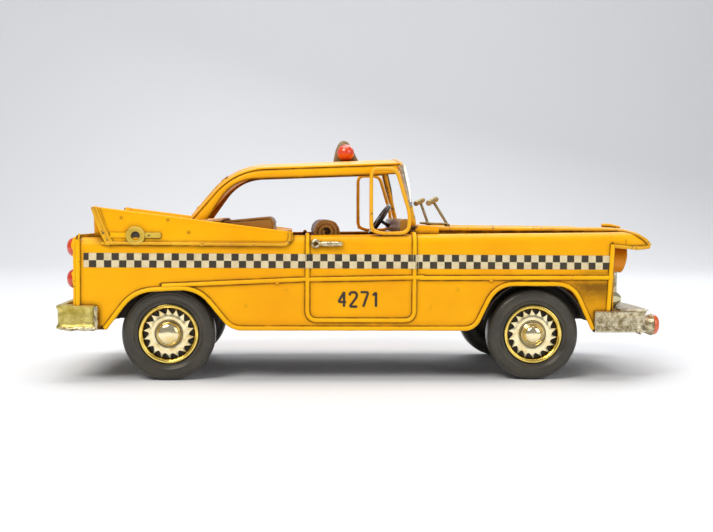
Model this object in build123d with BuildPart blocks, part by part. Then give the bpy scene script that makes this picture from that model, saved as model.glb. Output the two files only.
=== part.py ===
from build123d import *
import os
from math import acos, asin, cos, pi, radians, sin, sqrt, tan

os.makedirs("parts", exist_ok=True)

# A handmade tin taxi with a friction motor on its rear axle.  Millimetres.
# +X is the car's front, +Y its left side, +Z up.  The origin is on the floor,
# in the middle of the car's length and width.

# ---------------------------------------------------------------- driving dimensions
sheet = 0.8                     # body sheet
side_y = 59.0                   # outer face of the body sides
tail_x = -155.2                 # rear edge of the body sides
nose_x = 133.0                  # front edge of the body sides, under the brow
brow_x = 152.9                  # front tip of the brow
sill_z = 27.8                   # lower edge of the body sides
belt_tail_z = 76.4              # top of the body sides at the tail
belt_slope = 0.0155             # the belt line climbs towards the front
belt_radius = 5.0               # rolled shoulder between side and belt
flange_y = 46.0                 # inner edge of the belt flange
bead_radius = 1.1               # half-round wire soldered on the panels

wheelbase = 197.6
rear_axle_x = -107.1
front_axle_x = rear_axle_x + wheelbase
axle_z = 25.0
axle_radius = 1.5
axle_play = 0.08                # radial play of a shaft in its hole
tyre_radius = 25.0
tyre_y = 56.0                   # outer face of the tyre
tyre_width = 13.0
rim_radius = 16.0

floor_z = 32.2                  # underside of the floor pan
deck_y = 52.0                   # half width of the rear deck and the roof
hood_y = 46.0                   # half width of the hood
hood_z = 82.4
roof_front_x = 16.2
roof_front_z = 116.6
roof_crown = 4.2

gear_module = 0.8
gear_teeth = 30
pinion_teeth = 10
gear_backlash = 0.16
mesh_distance = gear_module * (gear_teeth + pinion_teeth) / 2
idler_direction = 60            # degrees above +X, seen from the right side
flywheel_direction = 75
flywheel_radius = 13.0
shaft_radius = 1.25
motor_y = 17.0                  # outer face of the motor frame's plates
motor_sheet = 1.0

idler_x = rear_axle_x + mesh_distance * cos(radians(idler_direction))
idler_z = axle_z + mesh_distance * sin(radians(idler_direction))
flywheel_x = idler_x + mesh_distance * cos(radians(flywheel_direction))
flywheel_z = idler_z + mesh_distance * sin(radians(flywheel_direction))
wheel_places = {
    "rear_right": (rear_axle_x, -1),
    "rear_left": (rear_axle_x, 1),
    "front_right": (front_axle_x, -1),
    "front_left": (front_axle_x, 1),
}


def belt_z(x):
    """Height of the belt line above the floor at a place along the car."""
    return belt_tail_z + belt_slope * (x - tail_x)


def side_plane(y):
    """A plane seen from the car's right side, whose normal points to the right."""
    return Plane.XZ.offset(-y)


def finish(part, name):
    """Label a finished sub-part and write it."""
    part.label = name
    export_step(part, f"parts/{name}.step")


# ---------------------------------------------------------------- shapes that repeat
def bent_strip(points, corner, width, thickness=sheet):
    """A strip of sheet, bent in the side view, that runs straight across the car."""
    with BuildPart() as strip:
        with BuildLine(Plane.XZ) as side_view:
            FilletPolyline(*points, radius=corner)
        path = side_view.line
        with BuildSketch(Plane(origin=path @ 0, x_dir=(0, 1, 0), z_dir=path % 0)):
            Rectangle(width, thickness, align=(Align.CENTER, Align.MAX))
        sweep(path=path)
    return strip.part


def half_round_pair(points, corner, radius=bead_radius, face_y=side_y):
    """A half-round wire lying on the right side, and its twin on the left."""
    with BuildPart() as bead:
        with BuildLine(side_plane(-face_y)) as route:
            FilletPolyline(*points, radius=corner)
        path = route.line
        with BuildSketch(Plane(origin=path @ 0, x_dir=(0, -1, 0), z_dir=path % 0)):
            Circle(radius)
            Rectangle(radius, 2 * radius, align=(Align.MAX, Align.CENTER), mode=Mode.SUBTRACT)
        sweep(path=path)
        mirror(about=Plane.XZ)
    return bead.part


def straight_bead_pair(start, end, radius=bead_radius, face_y=side_y):
    """A straight half-round wire on each side of the car."""
    with BuildPart() as bead:
        with BuildLine(side_plane(-face_y)) as route:
            Line(start, end)
        path = route.line
        with BuildSketch(Plane(origin=path @ 0, x_dir=(0, -1, 0), z_dir=path % 0)):
            Circle(radius)
            Rectangle(radius, 2 * radius, align=(Align.MAX, Align.CENTER), mode=Mode.SUBTRACT)
        sweep(path=path)
        mirror(about=Plane.XZ)
    return bead.part


def wire(points, corner, radius, plane, closed=False):
    """A round wire bent in one plane."""
    with BuildPart() as bent:
        with BuildLine(plane) as route:
            FilletPolyline(*points, radius=corner, close=closed)
        path = route.line
        with BuildSketch(Plane(origin=path @ 0, z_dir=path % 0)):
            Circle(radius)
        sweep(path=path)
    return bent.part


def rod(start, end, radius):
    """A straight round rod between two points."""
    axis = Vector(*end) - Vector(*start)
    with BuildPart() as straight:
        with BuildSketch(Plane(origin=start, z_dir=axis)):
            Circle(radius)
        extrude(amount=axis.length)
    return straight.part


def cross_rod(x, z, y_low, y_high, radius, bore=0.0):
    """A rod or a tube that lies across the car."""
    with BuildPart() as straight:
        with BuildSketch(side_plane(y_high)):
            with Locations((x, z)):
                Circle(radius)
                if bore:
                    Circle(bore, mode=Mode.SUBTRACT)
        extrude(amount=y_high - y_low)
    return straight.part


def lens(radius, rim, height):
    """A solid lens facing +X: a short round rim under a spherical dome."""
    rise = height - rim
    ball = (radius**2 + rise**2) / (2 * rise)
    half_angle = asin(radius / ball) / 2
    with BuildPart() as dome:
        with BuildSketch(Plane.XY):
            with BuildLine():
                Polyline((height, 0), (0, 0), (0, radius), (rim, radius))
                ThreePointArc(
                    (rim, radius),
                    (height - ball + ball * cos(half_angle), ball * sin(half_angle)),
                    (height, 0),
                )
            make_face()
        revolve(axis=Axis.X)
    return dome.part


def flank_angle(radius, base_radius):
    """Involute function, in radians, at a radius of the flank."""
    pressure = acos(min(1.0, base_radius / radius))
    return tan(pressure) - pressure


def gear_points(teeth, tooth_direction):
    """Outline of an involute gear with one tooth centred on a direction in degrees."""
    pitch = gear_module * teeth / 2
    base = pitch * cos(radians(20))
    root = pitch - 1.25 * gear_module
    tip = pitch + gear_module
    start = max(base, root)
    half_pitch_tooth = pi / (2 * teeth) - gear_backlash / (4 * pitch)
    flank = [start + (tip - start) * step / 3 for step in range(4)]
    points = []
    for tooth in range(teeth):
        middle = radians(tooth_direction) + 2 * pi * tooth / teeth
        halves = [half_pitch_tooth + flank_angle(pitch, base) - flank_angle(r, base) for r in flank]
        if root < start:
            points.append((root * cos(middle - halves[0]), root * sin(middle - halves[0])))
        points += [(r * cos(middle - half), r * sin(middle - half)) for r, half in zip(flank, halves)]
        back = list(zip(flank, halves))[::-1]
        points += [(r * cos(middle + half), r * sin(middle + half)) for r, half in back]
        if root < start:
            points.append((root * cos(middle + halves[0]), root * sin(middle + halves[0])))
    return points


def spur_gear(teeth, tooth_direction, x, z, y_low, y_high, bore):
    """An involute gear on a shaft that lies across the car."""
    outline = [(x + px, z + pz) for px, pz in gear_points(teeth, tooth_direction)]
    with BuildPart() as gear:
        with BuildSketch(side_plane(y_high)):
            with BuildLine():
                Polyline(*outline, close=True)
            make_face()
            with Locations((x, z)):
                Circle(bore, mode=Mode.SUBTRACT)
        extrude(amount=y_high - y_low)
    return gear.part


# ---------------------------------------------------------------- body sides
rear_arch = [(-139.5, sill_z), (-124.5, 48.0), (-91.5, 49.8), (-73.6, sill_z)]
front_arch = [(57.6, sill_z), (69.5, 52.2), (110.5, 52.2), (121.9, sill_z)]
arch_corner = 10.0

with BuildPart() as side_panel_right:
    # The section: a flat side, a rolled shoulder and a belt flange turned inwards.
    with BuildSketch(Plane.YZ.offset(tail_x)):
        shoulder_z = belt_tail_z - belt_radius
        with BuildLine():
            Polyline((-side_y, sill_z - 5), (-side_y, shoulder_z))
            RadiusArc((-side_y, shoulder_z), (-side_y + belt_radius, belt_tail_z), belt_radius)
            Polyline(
                (-side_y + belt_radius, belt_tail_z),
                (-flange_y, belt_tail_z),
                (-flange_y, belt_tail_z - sheet),
                (-side_y + belt_radius, belt_tail_z - sheet),
            )
            RadiusArc(
                (-side_y + belt_radius, belt_tail_z - sheet),
                (-side_y + sheet, shoulder_z),
                sheet - belt_radius,
            )
            Polyline(
                (-side_y + sheet, shoulder_z),
                (-side_y + sheet, sill_z - 5),
                (-side_y, sill_z - 5),
            )
        make_face()
    extrude(amount=nose_x - tail_x + 4, dir=(1, 0, belt_slope))
    # The side view: ends, sill and both wheel arches.
    with BuildSketch(side_plane(-flange_y + 1)):
        with BuildLine():
            FilletPolyline(*rear_arch, radius=arch_corner)
            Line(rear_arch[-1], front_arch[0])
            FilletPolyline(*front_arch, radius=arch_corner)
            Polyline(front_arch[-1], (nose_x - 1.6, sill_z), (nose_x, 74), (nose_x, 90))
            Polyline((nose_x, 90), (tail_x, 90), (tail_x, sill_z), rear_arch[0])
        make_face()
    extrude(amount=side_y, mode=Mode.INTERSECT)
finish(side_panel_right.part, "side_panel_right")

with BuildPart() as side_panel_left:
    mirror(side_panel_right.part, about=Plane.XZ)
finish(side_panel_left.part, "side_panel_left")

# ---------------------------------------------------------------- wires on the sides
door_rear_x = -33.7
door_front_x = 24.5
door_bottom_z = 32.7
bead_top_z = 71.5
door_route = [
    (door_rear_x, bead_top_z),
    (door_rear_x, door_bottom_z),
    (door_front_x, door_bottom_z),
    (door_front_x, bead_top_z),
]
door_beads = half_round_pair(door_route, 5.5)
finish(door_beads, "door_beads")


def waist_z(x):
    """Height of the waist wire, which climbs gently towards the front."""
    return 51.8 + 0.0205 * (x - rear_axle_x)


bead_gap = bead_radius + 0.08
waist_spans = [
    (-85.0, door_rear_x - bead_gap),
    (door_rear_x + bead_gap, door_front_x - bead_gap),
    (door_front_x + bead_gap, nose_x - 2.4 - bead_gap),
]
with BuildPart() as waist_beads:
    for span_start, span_end in waist_spans:
        add(straight_bead_pair((span_start, waist_z(span_start)), (span_end, waist_z(span_end))))
finish(waist_beads.part, "waist_beads")

arch_bead_lift = 1.2
with BuildPart() as edge_beads:
    for arch in (rear_arch, front_arch):
        (x0, z0), (x1, z1), (x2, z2), (x3, z3) = arch
        lifted = [
            (x0 - 1.5, z0 + 0.2),
            (x1 - 0.8, z1 + arch_bead_lift),
            (x2 + 0.6, z2 + arch_bead_lift),
            (x3 + 1.5, z3 + 0.2),
        ]
        add(half_round_pair(lifted, arch_corner + arch_bead_lift))
    add(straight_bead_pair((-69.6, sill_z + 1.2), (53.6, sill_z + 1.2)))
    add(straight_bead_pair((tail_x + 1.2, 42.0), (tail_x + 1.2, bead_top_z)))
    add(straight_bead_pair((nose_x - 3.0, 39.0), (nose_x - 1.2, 73.8)))
finish(edge_beads.part, "edge_beads")

# ---------------------------------------------------------------- door handles
handle_z = 73.4
with BuildPart() as door_handles:
    with BuildSketch(side_plane(-side_y - 1.0)):
        with Locations((-22.5, handle_z)):
            SlotOverall(14.0, 1.9)
        with Locations((-30.0, handle_z)):
            Circle(2.0)
            Circle(0.9, mode=Mode.SUBTRACT)
    extrude(amount=1.2)
    with BuildSketch(side_plane(-side_y)):
        with Locations((-26.0, handle_z - 0.2), (-18.0, handle_z - 0.2)):
            Circle(0.7)
    extrude(amount=1.0)
    mirror(about=Plane.XZ)
finish(door_handles.part, "door_handles")

# ---------------------------------------------------------------- tail fins
fin_rear_x = -146.4
fin_front_x = -43.5
fin_rear_z = 92.5
fin_front_z = 80.0
fin_foot_z = 72.9
fin_foot_y = side_y + 1.05
fin_lean = 0.15                 # the outer leaf leans inwards, per millimetre of height
fin_ridge = 1.8                 # width of the ridge


def fin_top_z(x):
    """Height of the fin's ridge, which falls towards the front."""
    return fin_rear_z + (fin_front_z - fin_rear_z) * (x - fin_rear_x) / (fin_front_x - fin_rear_x)


def fin_section(x, inset):
    """The fin's wedge across the car at a place along it, inset by the sheet for the inside."""
    top = fin_top_z(x) - inset
    drop = 20 * inset
    outer_top_y = -fin_foot_y + fin_lean * (top - fin_foot_z)
    inner_y = -deck_y - 0.1 - inset
    return [
        (-fin_foot_y - fin_lean * drop + inset, fin_foot_z - drop),
        (outer_top_y + inset, top),
        (outer_top_y + fin_ridge - inset, top),
        (inner_y, belt_z(x) + 0.05 + sheet - inset),
        (-deck_y - 0.1 - sheet, belt_z(x) + 0.05 - drop),
    ]


with BuildPart() as tail_fin_right:
    for overrun, inset, mode in ((2, 0.0, Mode.ADD), (3, sheet, Mode.SUBTRACT)):
        for end_x in (fin_rear_x - overrun, fin_front_x + 4 + overrun):
            with BuildSketch(Plane.YZ.offset(end_x)):
                with BuildLine():
                    Polyline(*fin_section(end_x, inset), close=True)
                make_face()
        loft(ruled=True, mode=mode)
    with BuildSketch(side_plane(-deck_y + 2)):
        with BuildLine():
            ThreePointArc((-146.4, 92.6), (-142.4, 81.5), (-137.6, fin_foot_z - 0.1))
            Line((-137.6, fin_foot_z - 0.1), (-47.0, fin_foot_z - 0.1))
            RadiusArc((-47.0, fin_foot_z - 0.1), (-41.1, 79.8), -7.5)
            Polyline((-41.1, 79.8), (-41.1, 96), (-146.4, 96), (-146.4, 92.6))
        make_face()
    extrude(amount=12, mode=Mode.INTERSECT)
finish(tail_fin_right.part, "tail_fin_right")

with BuildPart() as tail_fin_left:
    mirror(tail_fin_right.part, about=Plane.XZ)
finish(tail_fin_left.part, "tail_fin_left")

# Wires along the foot and the rear lip of each fin.
fin_face = Plane(
    origin=(0, -fin_foot_y, fin_foot_z),
    x_dir=(1, 0, 0),
    z_dir=(0, -1, fin_lean),
)


def on_fin(points):
    """Places on the leaning outer leaf from their side view, as heights above its foot."""
    stretch = sqrt(1 + fin_lean**2)
    return [(x, (z - fin_foot_z) * stretch) for x, z in points]


with BuildPart() as fin_wires:
    rear_foot_route = [(-136.6, 73.8), (-133.0, 73.84), (-128.4, 73.8)]
    foot_route = [(-119.2, 73.8), (-46.0, 73.8), (-42.6, 79.0)]
    lip_route = [(-145.2, 91.0), (-141.2, 81.4), (-136.8, 75.2)]
    for route_points, corner in ((rear_foot_route, 1.0), (foot_route, 3.5), (lip_route, 30.0)):
        with BuildLine(fin_face):
            route = FilletPolyline(*on_fin(route_points), radius=corner)
        with BuildSketch(Plane(origin=route @ 0, x_dir=fin_face.z_dir, z_dir=route % 0)):
            Circle(0.8)
            Rectangle(0.8, 1.6, align=(Align.MAX, Align.CENTER), mode=Mode.SUBTRACT)
        sweep(path=route)
    mirror(about=Plane.XZ)
finish(fin_wires.part, "fin_wires")

medallion_x = -123.8
with BuildPart() as fin_badges:
    with BuildSketch(fin_face):
        with Locations(on_fin([(medallion_x, 77.9)])[0]):
            SlotOverall(27.0, 2.6)
    extrude(amount=0.8)
    with BuildSketch(fin_face):
        with Locations(on_fin([(medallion_x, 77.6)])[0]):
            Circle(4.9)
    extrude(amount=1.6)
    with BuildSketch(fin_face.offset(0.6)):
        with Locations(on_fin([(medallion_x, 77.6)])[0]):
            Circle(2.35)
    extrude(amount=1.0, mode=Mode.SUBTRACT)
    mirror(about=Plane.XZ)
finish(fin_badges.part, "fin_badges")

# ---------------------------------------------------------------- rear deck and rear panel
deck_route = [(tail_x - 0.9, 78.3), (-147.5, 78.6), (-118.0, 83.4), (-79.6, 86.0)]
rear_deck = bent_strip(deck_route, [6, 60], 2 * deck_y)
finish(rear_deck, "rear_deck")

lamp_y = 46.0
lamp_heights = (71.0, 54.0)
bracket_z = floor_z - 0.55        # middle of the bumper straps, under the floor pan
with BuildPart() as rear_panel:
    with BuildSketch(Plane.YZ.offset(tail_x - 0.05)):
        with BuildLine():
            FilletPolyline(
                (-side_y, 29.0),
                (-side_y, 76.6),
                (side_y, 76.6),
                (side_y, 29.0),
                radius=[5, 5],
            )
            Line((side_y, 29.0), (-side_y, 29.0))
        make_face()
        with Locations((-30.0, bracket_z), (30.0, bracket_z)):
            Rectangle(8.2, 1.2, mode=Mode.SUBTRACT)
    extrude(amount=-sheet)
finish(rear_panel.part, "rear_panel")
rear_face_x = tail_x - 0.05 - sheet

with BuildPart() as tail_lamp_bezels:
    with BuildSketch(Plane.YZ.offset(rear_face_x)):
        with Locations(*[(side * lamp_y, z) for side in (-1, 1) for z in lamp_heights]):
            Circle(6.4)
            Circle(5.3, mode=Mode.SUBTRACT)
    extrude(amount=-2.0)
finish(tail_lamp_bezels.part, "tail_lamp_bezels")

with BuildPart() as tail_lamp_lenses:
    tail_lens = mirror(lens(5.2, 1.6, 5.9), about=Plane.YZ, mode=Mode.PRIVATE)
    for lens_y in (-lamp_y, lamp_y):
        for lens_z in lamp_heights:
            add(tail_lens.moved(Location((rear_face_x - 0.02, lens_y, lens_z))))
finish(tail_lamp_lenses.part, "tail_lamp_lenses")

# ---------------------------------------------------------------- bumpers
bumper_y = side_y + 2.3
bumper_sheet = 1.0


def bumper(end_x, bar_x, z_low, z_high, lip, corner):
    """A channel bumper: a blade wrapped round the corners, with turned-in flanges."""
    inward = 1 if end_x > bar_x else -1
    plan = [(end_x, -bumper_y), (bar_x, -bumper_y), (bar_x, bumper_y), (end_x, bumper_y)]
    inner_y = bumper_y - bumper_sheet
    inner_x = bar_x + inward * bumper_sheet
    inner = [(end_x, -inner_y), (inner_x, -inner_y), (inner_x, inner_y), (end_x, inner_y)]
    lip_y = side_y + 0.3
    lip_x = bar_x + inward * lip
    lipped = [(end_x, -lip_y), (lip_x, -lip_y), (lip_x, lip_y), (end_x, lip_y)]
    levels = (
        (z_low, z_high - z_low, inner, corner - bumper_sheet),
        (z_low, bumper_sheet, lipped, 2.0),
        (z_high - bumper_sheet, bumper_sheet, lipped, 2.0),
    )
    with BuildPart() as channel:
        for level, height, inside, inside_corner in levels:
            with BuildSketch(Plane.XY.offset(level)):
                with BuildLine():
                    FilletPolyline(*plan, radius=corner)
                    Line(plan[0], inside[0])
                    FilletPolyline(*inside, radius=inside_corner)
                    Line(plan[-1], inside[-1])
                make_face()
            extrude(amount=height)
    return channel.part


front_bumper = bumper(122.9, 153.4, 26.8, 38.4, 7.0, 8.0)
finish(front_bumper, "front_bumper")
rear_bumper = bumper(-144.9, -165.75, 28.1, 40.6, 5.0, 5.0)
finish(rear_bumper, "rear_bumper")

guard_y = 40.0
guard_z = 28.95
with BuildPart() as bumper_guards:
    for guard_side in (-guard_y, guard_y):
        with BuildSketch(Plane.YZ.offset(153.42)):
            with Locations((guard_side, guard_z + 1.6)):
                RectangleRounded(9.0, 14.0, 3.0)
        extrude(amount=3.2)
        with BuildSketch(Plane.YZ.offset(156.62)):
            with Locations((guard_side, guard_z)):
                Circle(5.2)
        extrude(amount=3.4)
        with BuildSketch(Plane.YZ.offset(158.0)):
            with Locations((guard_side, guard_z)):
                Circle(4.4)
        extrude(amount=4, mode=Mode.SUBTRACT)
finish(bumper_guards.part, "bumper_guards")

with BuildPart() as guard_lamp_lenses:
    for lens_y in (-guard_y, guard_y):
        add(lens(4.3, 3.2, 7.7).moved(Location((158.05, lens_y, guard_z))))
finish(guard_lamp_lenses.part, "guard_lamp_lenses")

with BuildPart() as bumper_brackets:
    for bracket_y in (-30.0, 30.0):
        with BuildSketch(Plane.XY.offset(bracket_z - 0.5)):
            with Locations((-150.0, bracket_y)):
                Rectangle(27.0, 8.0)
            with Locations((138.0, bracket_y)):
                Rectangle(28.6, 8.0)
        extrude(amount=1.0)
finish(bumper_brackets.part, "bumper_brackets")

# ---------------------------------------------------------------- hood, cowl and nose
nose_bulge = 7.0                # the hood's nose stands this far forward in the middle
hood_rear_x = 37.2
hood_side_view = [(hood_rear_x, hood_z), (144.0, hood_z), (152.6, 79.0), (157.0, 74.5)]
hood_inside_view = [
    (hood_rear_x, hood_z - sheet),
    (143.85, hood_z - sheet),
    (152.2, 78.35),
    (156.3, 74.1),
]
hood_corners = (16.0, 8.0)


def hood_outline(points, bulge):
    """The hood's side view with its nose moved forward."""
    return [points[0]] + [(x + bulge, z) for x, z in points[1:]]


with BuildPart() as hood_panel:
    for section_y in (-hood_y, -hood_y / 2, 0.0, hood_y / 2, hood_y):
        bulge = nose_bulge * (1 - (section_y / hood_y) ** 2)
        with BuildSketch(side_plane(section_y)):
            with BuildLine():
                outer = FilletPolyline(*hood_outline(hood_side_view, bulge), radius=hood_corners)
                inner = FilletPolyline(
                    *hood_outline(hood_inside_view, bulge),
                    radius=[corner - sheet for corner in hood_corners],
                )
                Line(outer @ 0, inner @ 0)
                Line(outer @ 1, inner @ 1)
            make_face()
    loft()
finish(hood_panel.part, "hood_panel")

ornament_rear_x = 143.8
ornament_tip_x = 154.6
ornament_foot_z = hood_z + 0.02
with BuildPart() as hood_trim:
    with BuildLine(side_plane(-hood_y + 1.2)):
        hood_bead_route = Polyline((hood_rear_x, hood_z), (136.0, hood_z))
    bead_start = Plane(origin=hood_bead_route @ 0, x_dir=(0, 0, 1), z_dir=hood_bead_route % 0)
    with BuildSketch(bead_start):
        Circle(bead_radius)
        Rectangle(bead_radius, 2 * bead_radius, align=(Align.MAX, Align.CENTER), mode=Mode.SUBTRACT)
    sweep(path=hood_bead_route)
    mirror(about=Plane.XZ)
    # The ornament on the middle of the nose, where the hood begins to fall away under it.
    with BuildSketch(side_plane(1.2)):
        with BuildLine():
            Polyline(
                (ornament_rear_x, ornament_foot_z + 2.4),
                (ornament_rear_x, ornament_foot_z),
                (ornament_tip_x - 1.2, ornament_foot_z),
                (ornament_tip_x, ornament_foot_z + 0.6),
            )
            Spline(
                (ornament_tip_x, ornament_foot_z + 0.6),
                (ornament_tip_x - 3.2, ornament_foot_z + 2.2),
                (ornament_rear_x, ornament_foot_z + 2.4),
            )
        make_face()
    extrude(amount=2.4)
finish(hood_trim.part, "hood_trim")

brow_outline = [
    (nose_x + 0.05, belt_z(nose_x)),
    (143.5, 81.0),
    (149.7, 77.6),
    (brow_x, 73.6),
    (140.6, 73.0),
    (nose_x + 0.05, 74.0),
]
with BuildPart() as headlamp_brows:
    with BuildSketch(side_plane(-hood_y - 0.1)):
        with BuildLine():
            Polyline(*brow_outline, close=True)
        make_face()
    extrude(amount=side_y - hood_y - 0.1)
    outer_edges = headlamp_brows.edges().group_by(Axis.Y)[0]
    fillet(outer_edges.filter_by(lambda e: e.center().Z > 75 and e.center().X > nose_x + 1), 3.0)
    with BuildSketch(side_plane(-hood_y + 1)):
        with BuildLine():
            Polyline(
                (nose_x - 1, belt_z(nose_x) - sheet),
                (143.2, 81.0 - sheet),
                (149.2, 77.6 - sheet),
                (brow_x - 1.6, 73.8),
                (brow_x - 3.0, 60.0),
                (nose_x - 1, 60.0),
                close=True,
            )
        make_face()
    extrude(amount=side_y - hood_y - sheet + 1, mode=Mode.SUBTRACT)
    mirror(about=Plane.XZ)
finish(headlamp_brows.part, "headlamp_brows")

headlamp_y = 45.0
headlamp_z = 64.9
headlamp_radius = 6.9
parking_z = 44.0
with BuildPart() as front_panel:
    with BuildSketch(Plane.YZ.offset(nose_x + 0.05)):
        with Locations((0, 51.2)):
            Rectangle(2 * side_y, 44.4)
        with Locations((0, 52.0)):
            RectangleRounded(66.0, 26.0, 9.0, mode=Mode.SUBTRACT)
        with Locations((-headlamp_y, headlamp_z), (headlamp_y, headlamp_z)):
            Circle(headlamp_radius - 1.2, mode=Mode.SUBTRACT)
        with Locations((-30.0, bracket_z), (30.0, bracket_z)):
            Rectangle(8.2, 1.2, mode=Mode.SUBTRACT)
    extrude(amount=sheet)
finish(front_panel.part, "front_panel")
front_face_x = nose_x + 0.05 + sheet

with BuildPart() as grille:
    with BuildSketch(Plane.YZ.offset(front_face_x + 0.02)):
        with Locations((0, 52.0)):
            RectangleRounded(72.0, 31.0, 11.0)
            RectangleRounded(64.0, 24.0, 8.0, mode=Mode.SUBTRACT)
    extrude(amount=4.2)
    with BuildSketch(Plane.YZ.offset(front_face_x + 1.0)):
        with Locations(*[(0, 52.0 + 4.4 * step) for step in range(-2, 3)]):
            Rectangle(65.0, 1.6)
        with Locations(*[(13.0 * step, 52.0) for step in range(-2, 3)]):
            Rectangle(1.4, 25.0)
    extrude(amount=1.6)
finish(grille.part, "grille")

with BuildPart() as headlamp_housings:
    for lamp_side in (-headlamp_y, headlamp_y):
        with BuildSketch(Plane.YZ.offset(front_face_x + 0.02)):
            with Locations((lamp_side, headlamp_z)):
                Circle(headlamp_radius)
                Circle(headlamp_radius - 0.9, mode=Mode.SUBTRACT)
        extrude(amount=11.0)
    slant = Plane(origin=(144.2, 0, 72.0), z_dir=(14.0, 0, -5.0))
    split(bisect_by=slant, keep=Keep.BOTTOM)
finish(headlamp_housings.part, "headlamp_housings")

with BuildPart() as headlamp_lenses:
    for lens_y in (-headlamp_y, headlamp_y):
        add(lens(5.8, 1.0, 3.4).moved(Location((front_face_x + 3.0, lens_y, headlamp_z))))
finish(headlamp_lenses.part, "headlamp_lenses")

with BuildPart() as parking_lamp:
    with BuildSketch(Plane.XY):
        with BuildLine():
            Polyline((0, 0), (0, 5.3), (3.0, 5.3), (6.4, 3.4), (8.6, 0), (0, 0))
        make_face()
    revolve(axis=Axis.X)
with BuildPart() as parking_lamps:
    for lens_y in (-headlamp_y, headlamp_y):
        add(parking_lamp.part.moved(Location((front_face_x + 0.02, lens_y, parking_z))))
finish(parking_lamps.part, "parking_lamps")

cowl_panel = bent_strip([(25.6, 81.2), (27.6, 84.0), (37.1, 83.2)], 1.5, 2 * hood_y)
finish(cowl_panel, "cowl_panel")

# ---------------------------------------------------------------- dashboard and steering
steering_centre = Vector(12.35, 25.0, 86.5)
steering_axis = Vector(18.2, 0, -12.3).normalized()
column_radius = 1.1
steering_ring_radius = 10.2
steering_wire_radius = 0.8
spoke_width = 1.3
steering_hub_radius = 2.4

with BuildPart() as dashboard:
    add(bent_strip([(17.9, 79.8), (17.9, 86.6), (21.0, 87.6), (23.9, 86.2), (23.9, 79.8)], 1.2, 91.0))
    with BuildSketch(Plane(origin=steering_centre, z_dir=steering_axis)):
        Circle(column_radius + 0.3)
    extrude(amount=30.0, mode=Mode.SUBTRACT)
finish(dashboard.part, "dashboard")

with BuildPart() as steering_wheel:
    wheel_plane = Plane(origin=steering_centre, x_dir=(0, 1, 0), z_dir=steering_axis)
    with BuildSketch(Plane(origin=steering_centre + Vector(0, steering_ring_radius, 0), x_dir=(0, 1, 0),
                           z_dir=steering_axis.cross(Vector(0, 1, 0)))):
        Circle(steering_wire_radius)
    revolve(axis=Axis(steering_centre, steering_axis))
    with BuildSketch(wheel_plane.offset(-0.6)):
        Rectangle(2 * steering_ring_radius - 0.2, spoke_width)
        Rectangle(spoke_width, 2 * steering_ring_radius - 0.2)
        Circle(steering_hub_radius)
    extrude(amount=1.2)
    with BuildSketch(wheel_plane):
        Circle(column_radius)
    extrude(amount=17.0)
finish(steering_wheel.part, "steering_wheel")

# ---------------------------------------------------------------- windscreen, vents, wipers
screen_base = Vector(25.0, 0, 84.4)
screen_top = Vector(17.2, 0, 117.4)
screen_up = (screen_top - screen_base).normalized()
screen_height = (screen_top - screen_base).length
with BuildPart() as windscreen_frame:
    with BuildSketch(Plane(origin=screen_base, x_dir=(0, 1, 0), z_dir=Vector(0, 1, 0).cross(screen_up))):
        with Locations((0, screen_height / 2)):
            RectangleRounded(104.0, screen_height, 6.0)
            RectangleRounded(98.0, screen_height - 5.0, 4.0, mode=Mode.SUBTRACT)
    extrude(amount=1.6)
finish(windscreen_frame.part, "windscreen_frame")

vent_outline = [(1.0, 80.3), (1.0, 114.6), (14.0, 114.6), (21.8, 90.0), (21.6, 80.3)]
with BuildPart() as vent_frames:
    add(wire(vent_outline, 3.0, 1.0, side_plane(-56.5), closed=True))
    mirror(about=Plane.XZ)
finish(vent_frames.part, "vent_frames")

with BuildPart() as wipers:
    for wiper_y, foot_x in ((-20.0, 47.6), (20.0, 41.8)):
        foot = (foot_x, wiper_y, hood_z + 0.9)
        tip = (foot_x - 7.6, wiper_y + 4, hood_z + 15.0)
        blade_start = (foot_x - 11.6, wiper_y - 5, hood_z + 14.0)
        blade_end = (foot_x - 4.8, wiper_y + 12, hood_z + 16.6)
        add(rod(foot, tip, 0.7))
        add(rod(blade_start, blade_end, 0.8))
        add(cross_rod(foot_x, hood_z + 0.92, wiper_y - 6, wiper_y + 6, 0.9))
finish(wipers.part, "wipers")

# ---------------------------------------------------------------- roof
pillar_foot = (-94.5, 86.35)
roof_knee = (-71.96, 112.6)
roof_route = [(roof_front_x, roof_front_z), roof_knee, pillar_foot]
right_rail_route = [(roof_front_x, 111.8), (-72.9, 107.8), (-86.9, 86.35)]
left_rail_route = [(roof_front_x, 114.4), (-73.6, 110.4), (-90.6, 86.35)]   # made narrower
rail_width = 2.0
roof_bend = 50.0                # inside the rear corner of the roof's side view
rail_bend = 44.0


def roof_rail(inner_route):
    """A rail along the roof's right edge, from the roof's line down to its own inner line."""
    with BuildPart() as rail:
        with BuildSketch(side_plane(-deck_y + rail_width)):
            with BuildLine():
                FilletPolyline(*roof_route, radius=roof_bend)
                Line(pillar_foot, inner_route[-1])
                FilletPolyline(*inner_route, radius=rail_bend)
                Line(inner_route[0], roof_route[0])
            make_face()
        extrude(amount=rail_width)
        # The foot of the pillar is cut to lie on the deck.
        with BuildSketch(Plane.XZ):
            with BuildLine():
                Polyline((-120, 60), (-60, 60), (-60, 90.0), (-79.6, 86.1), (-118.0, 83.5), (-120, 60))
            make_face()
        extrude(amount=70, mode=Mode.SUBTRACT)
    return rail.part


finish(roof_rail(right_rail_route), "roof_rail_right")

with BuildPart() as roof_rail_left:
    mirror(roof_rail(left_rail_route), about=Plane.XZ)
finish(roof_rail_left.part, "roof_rail_left")

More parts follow.
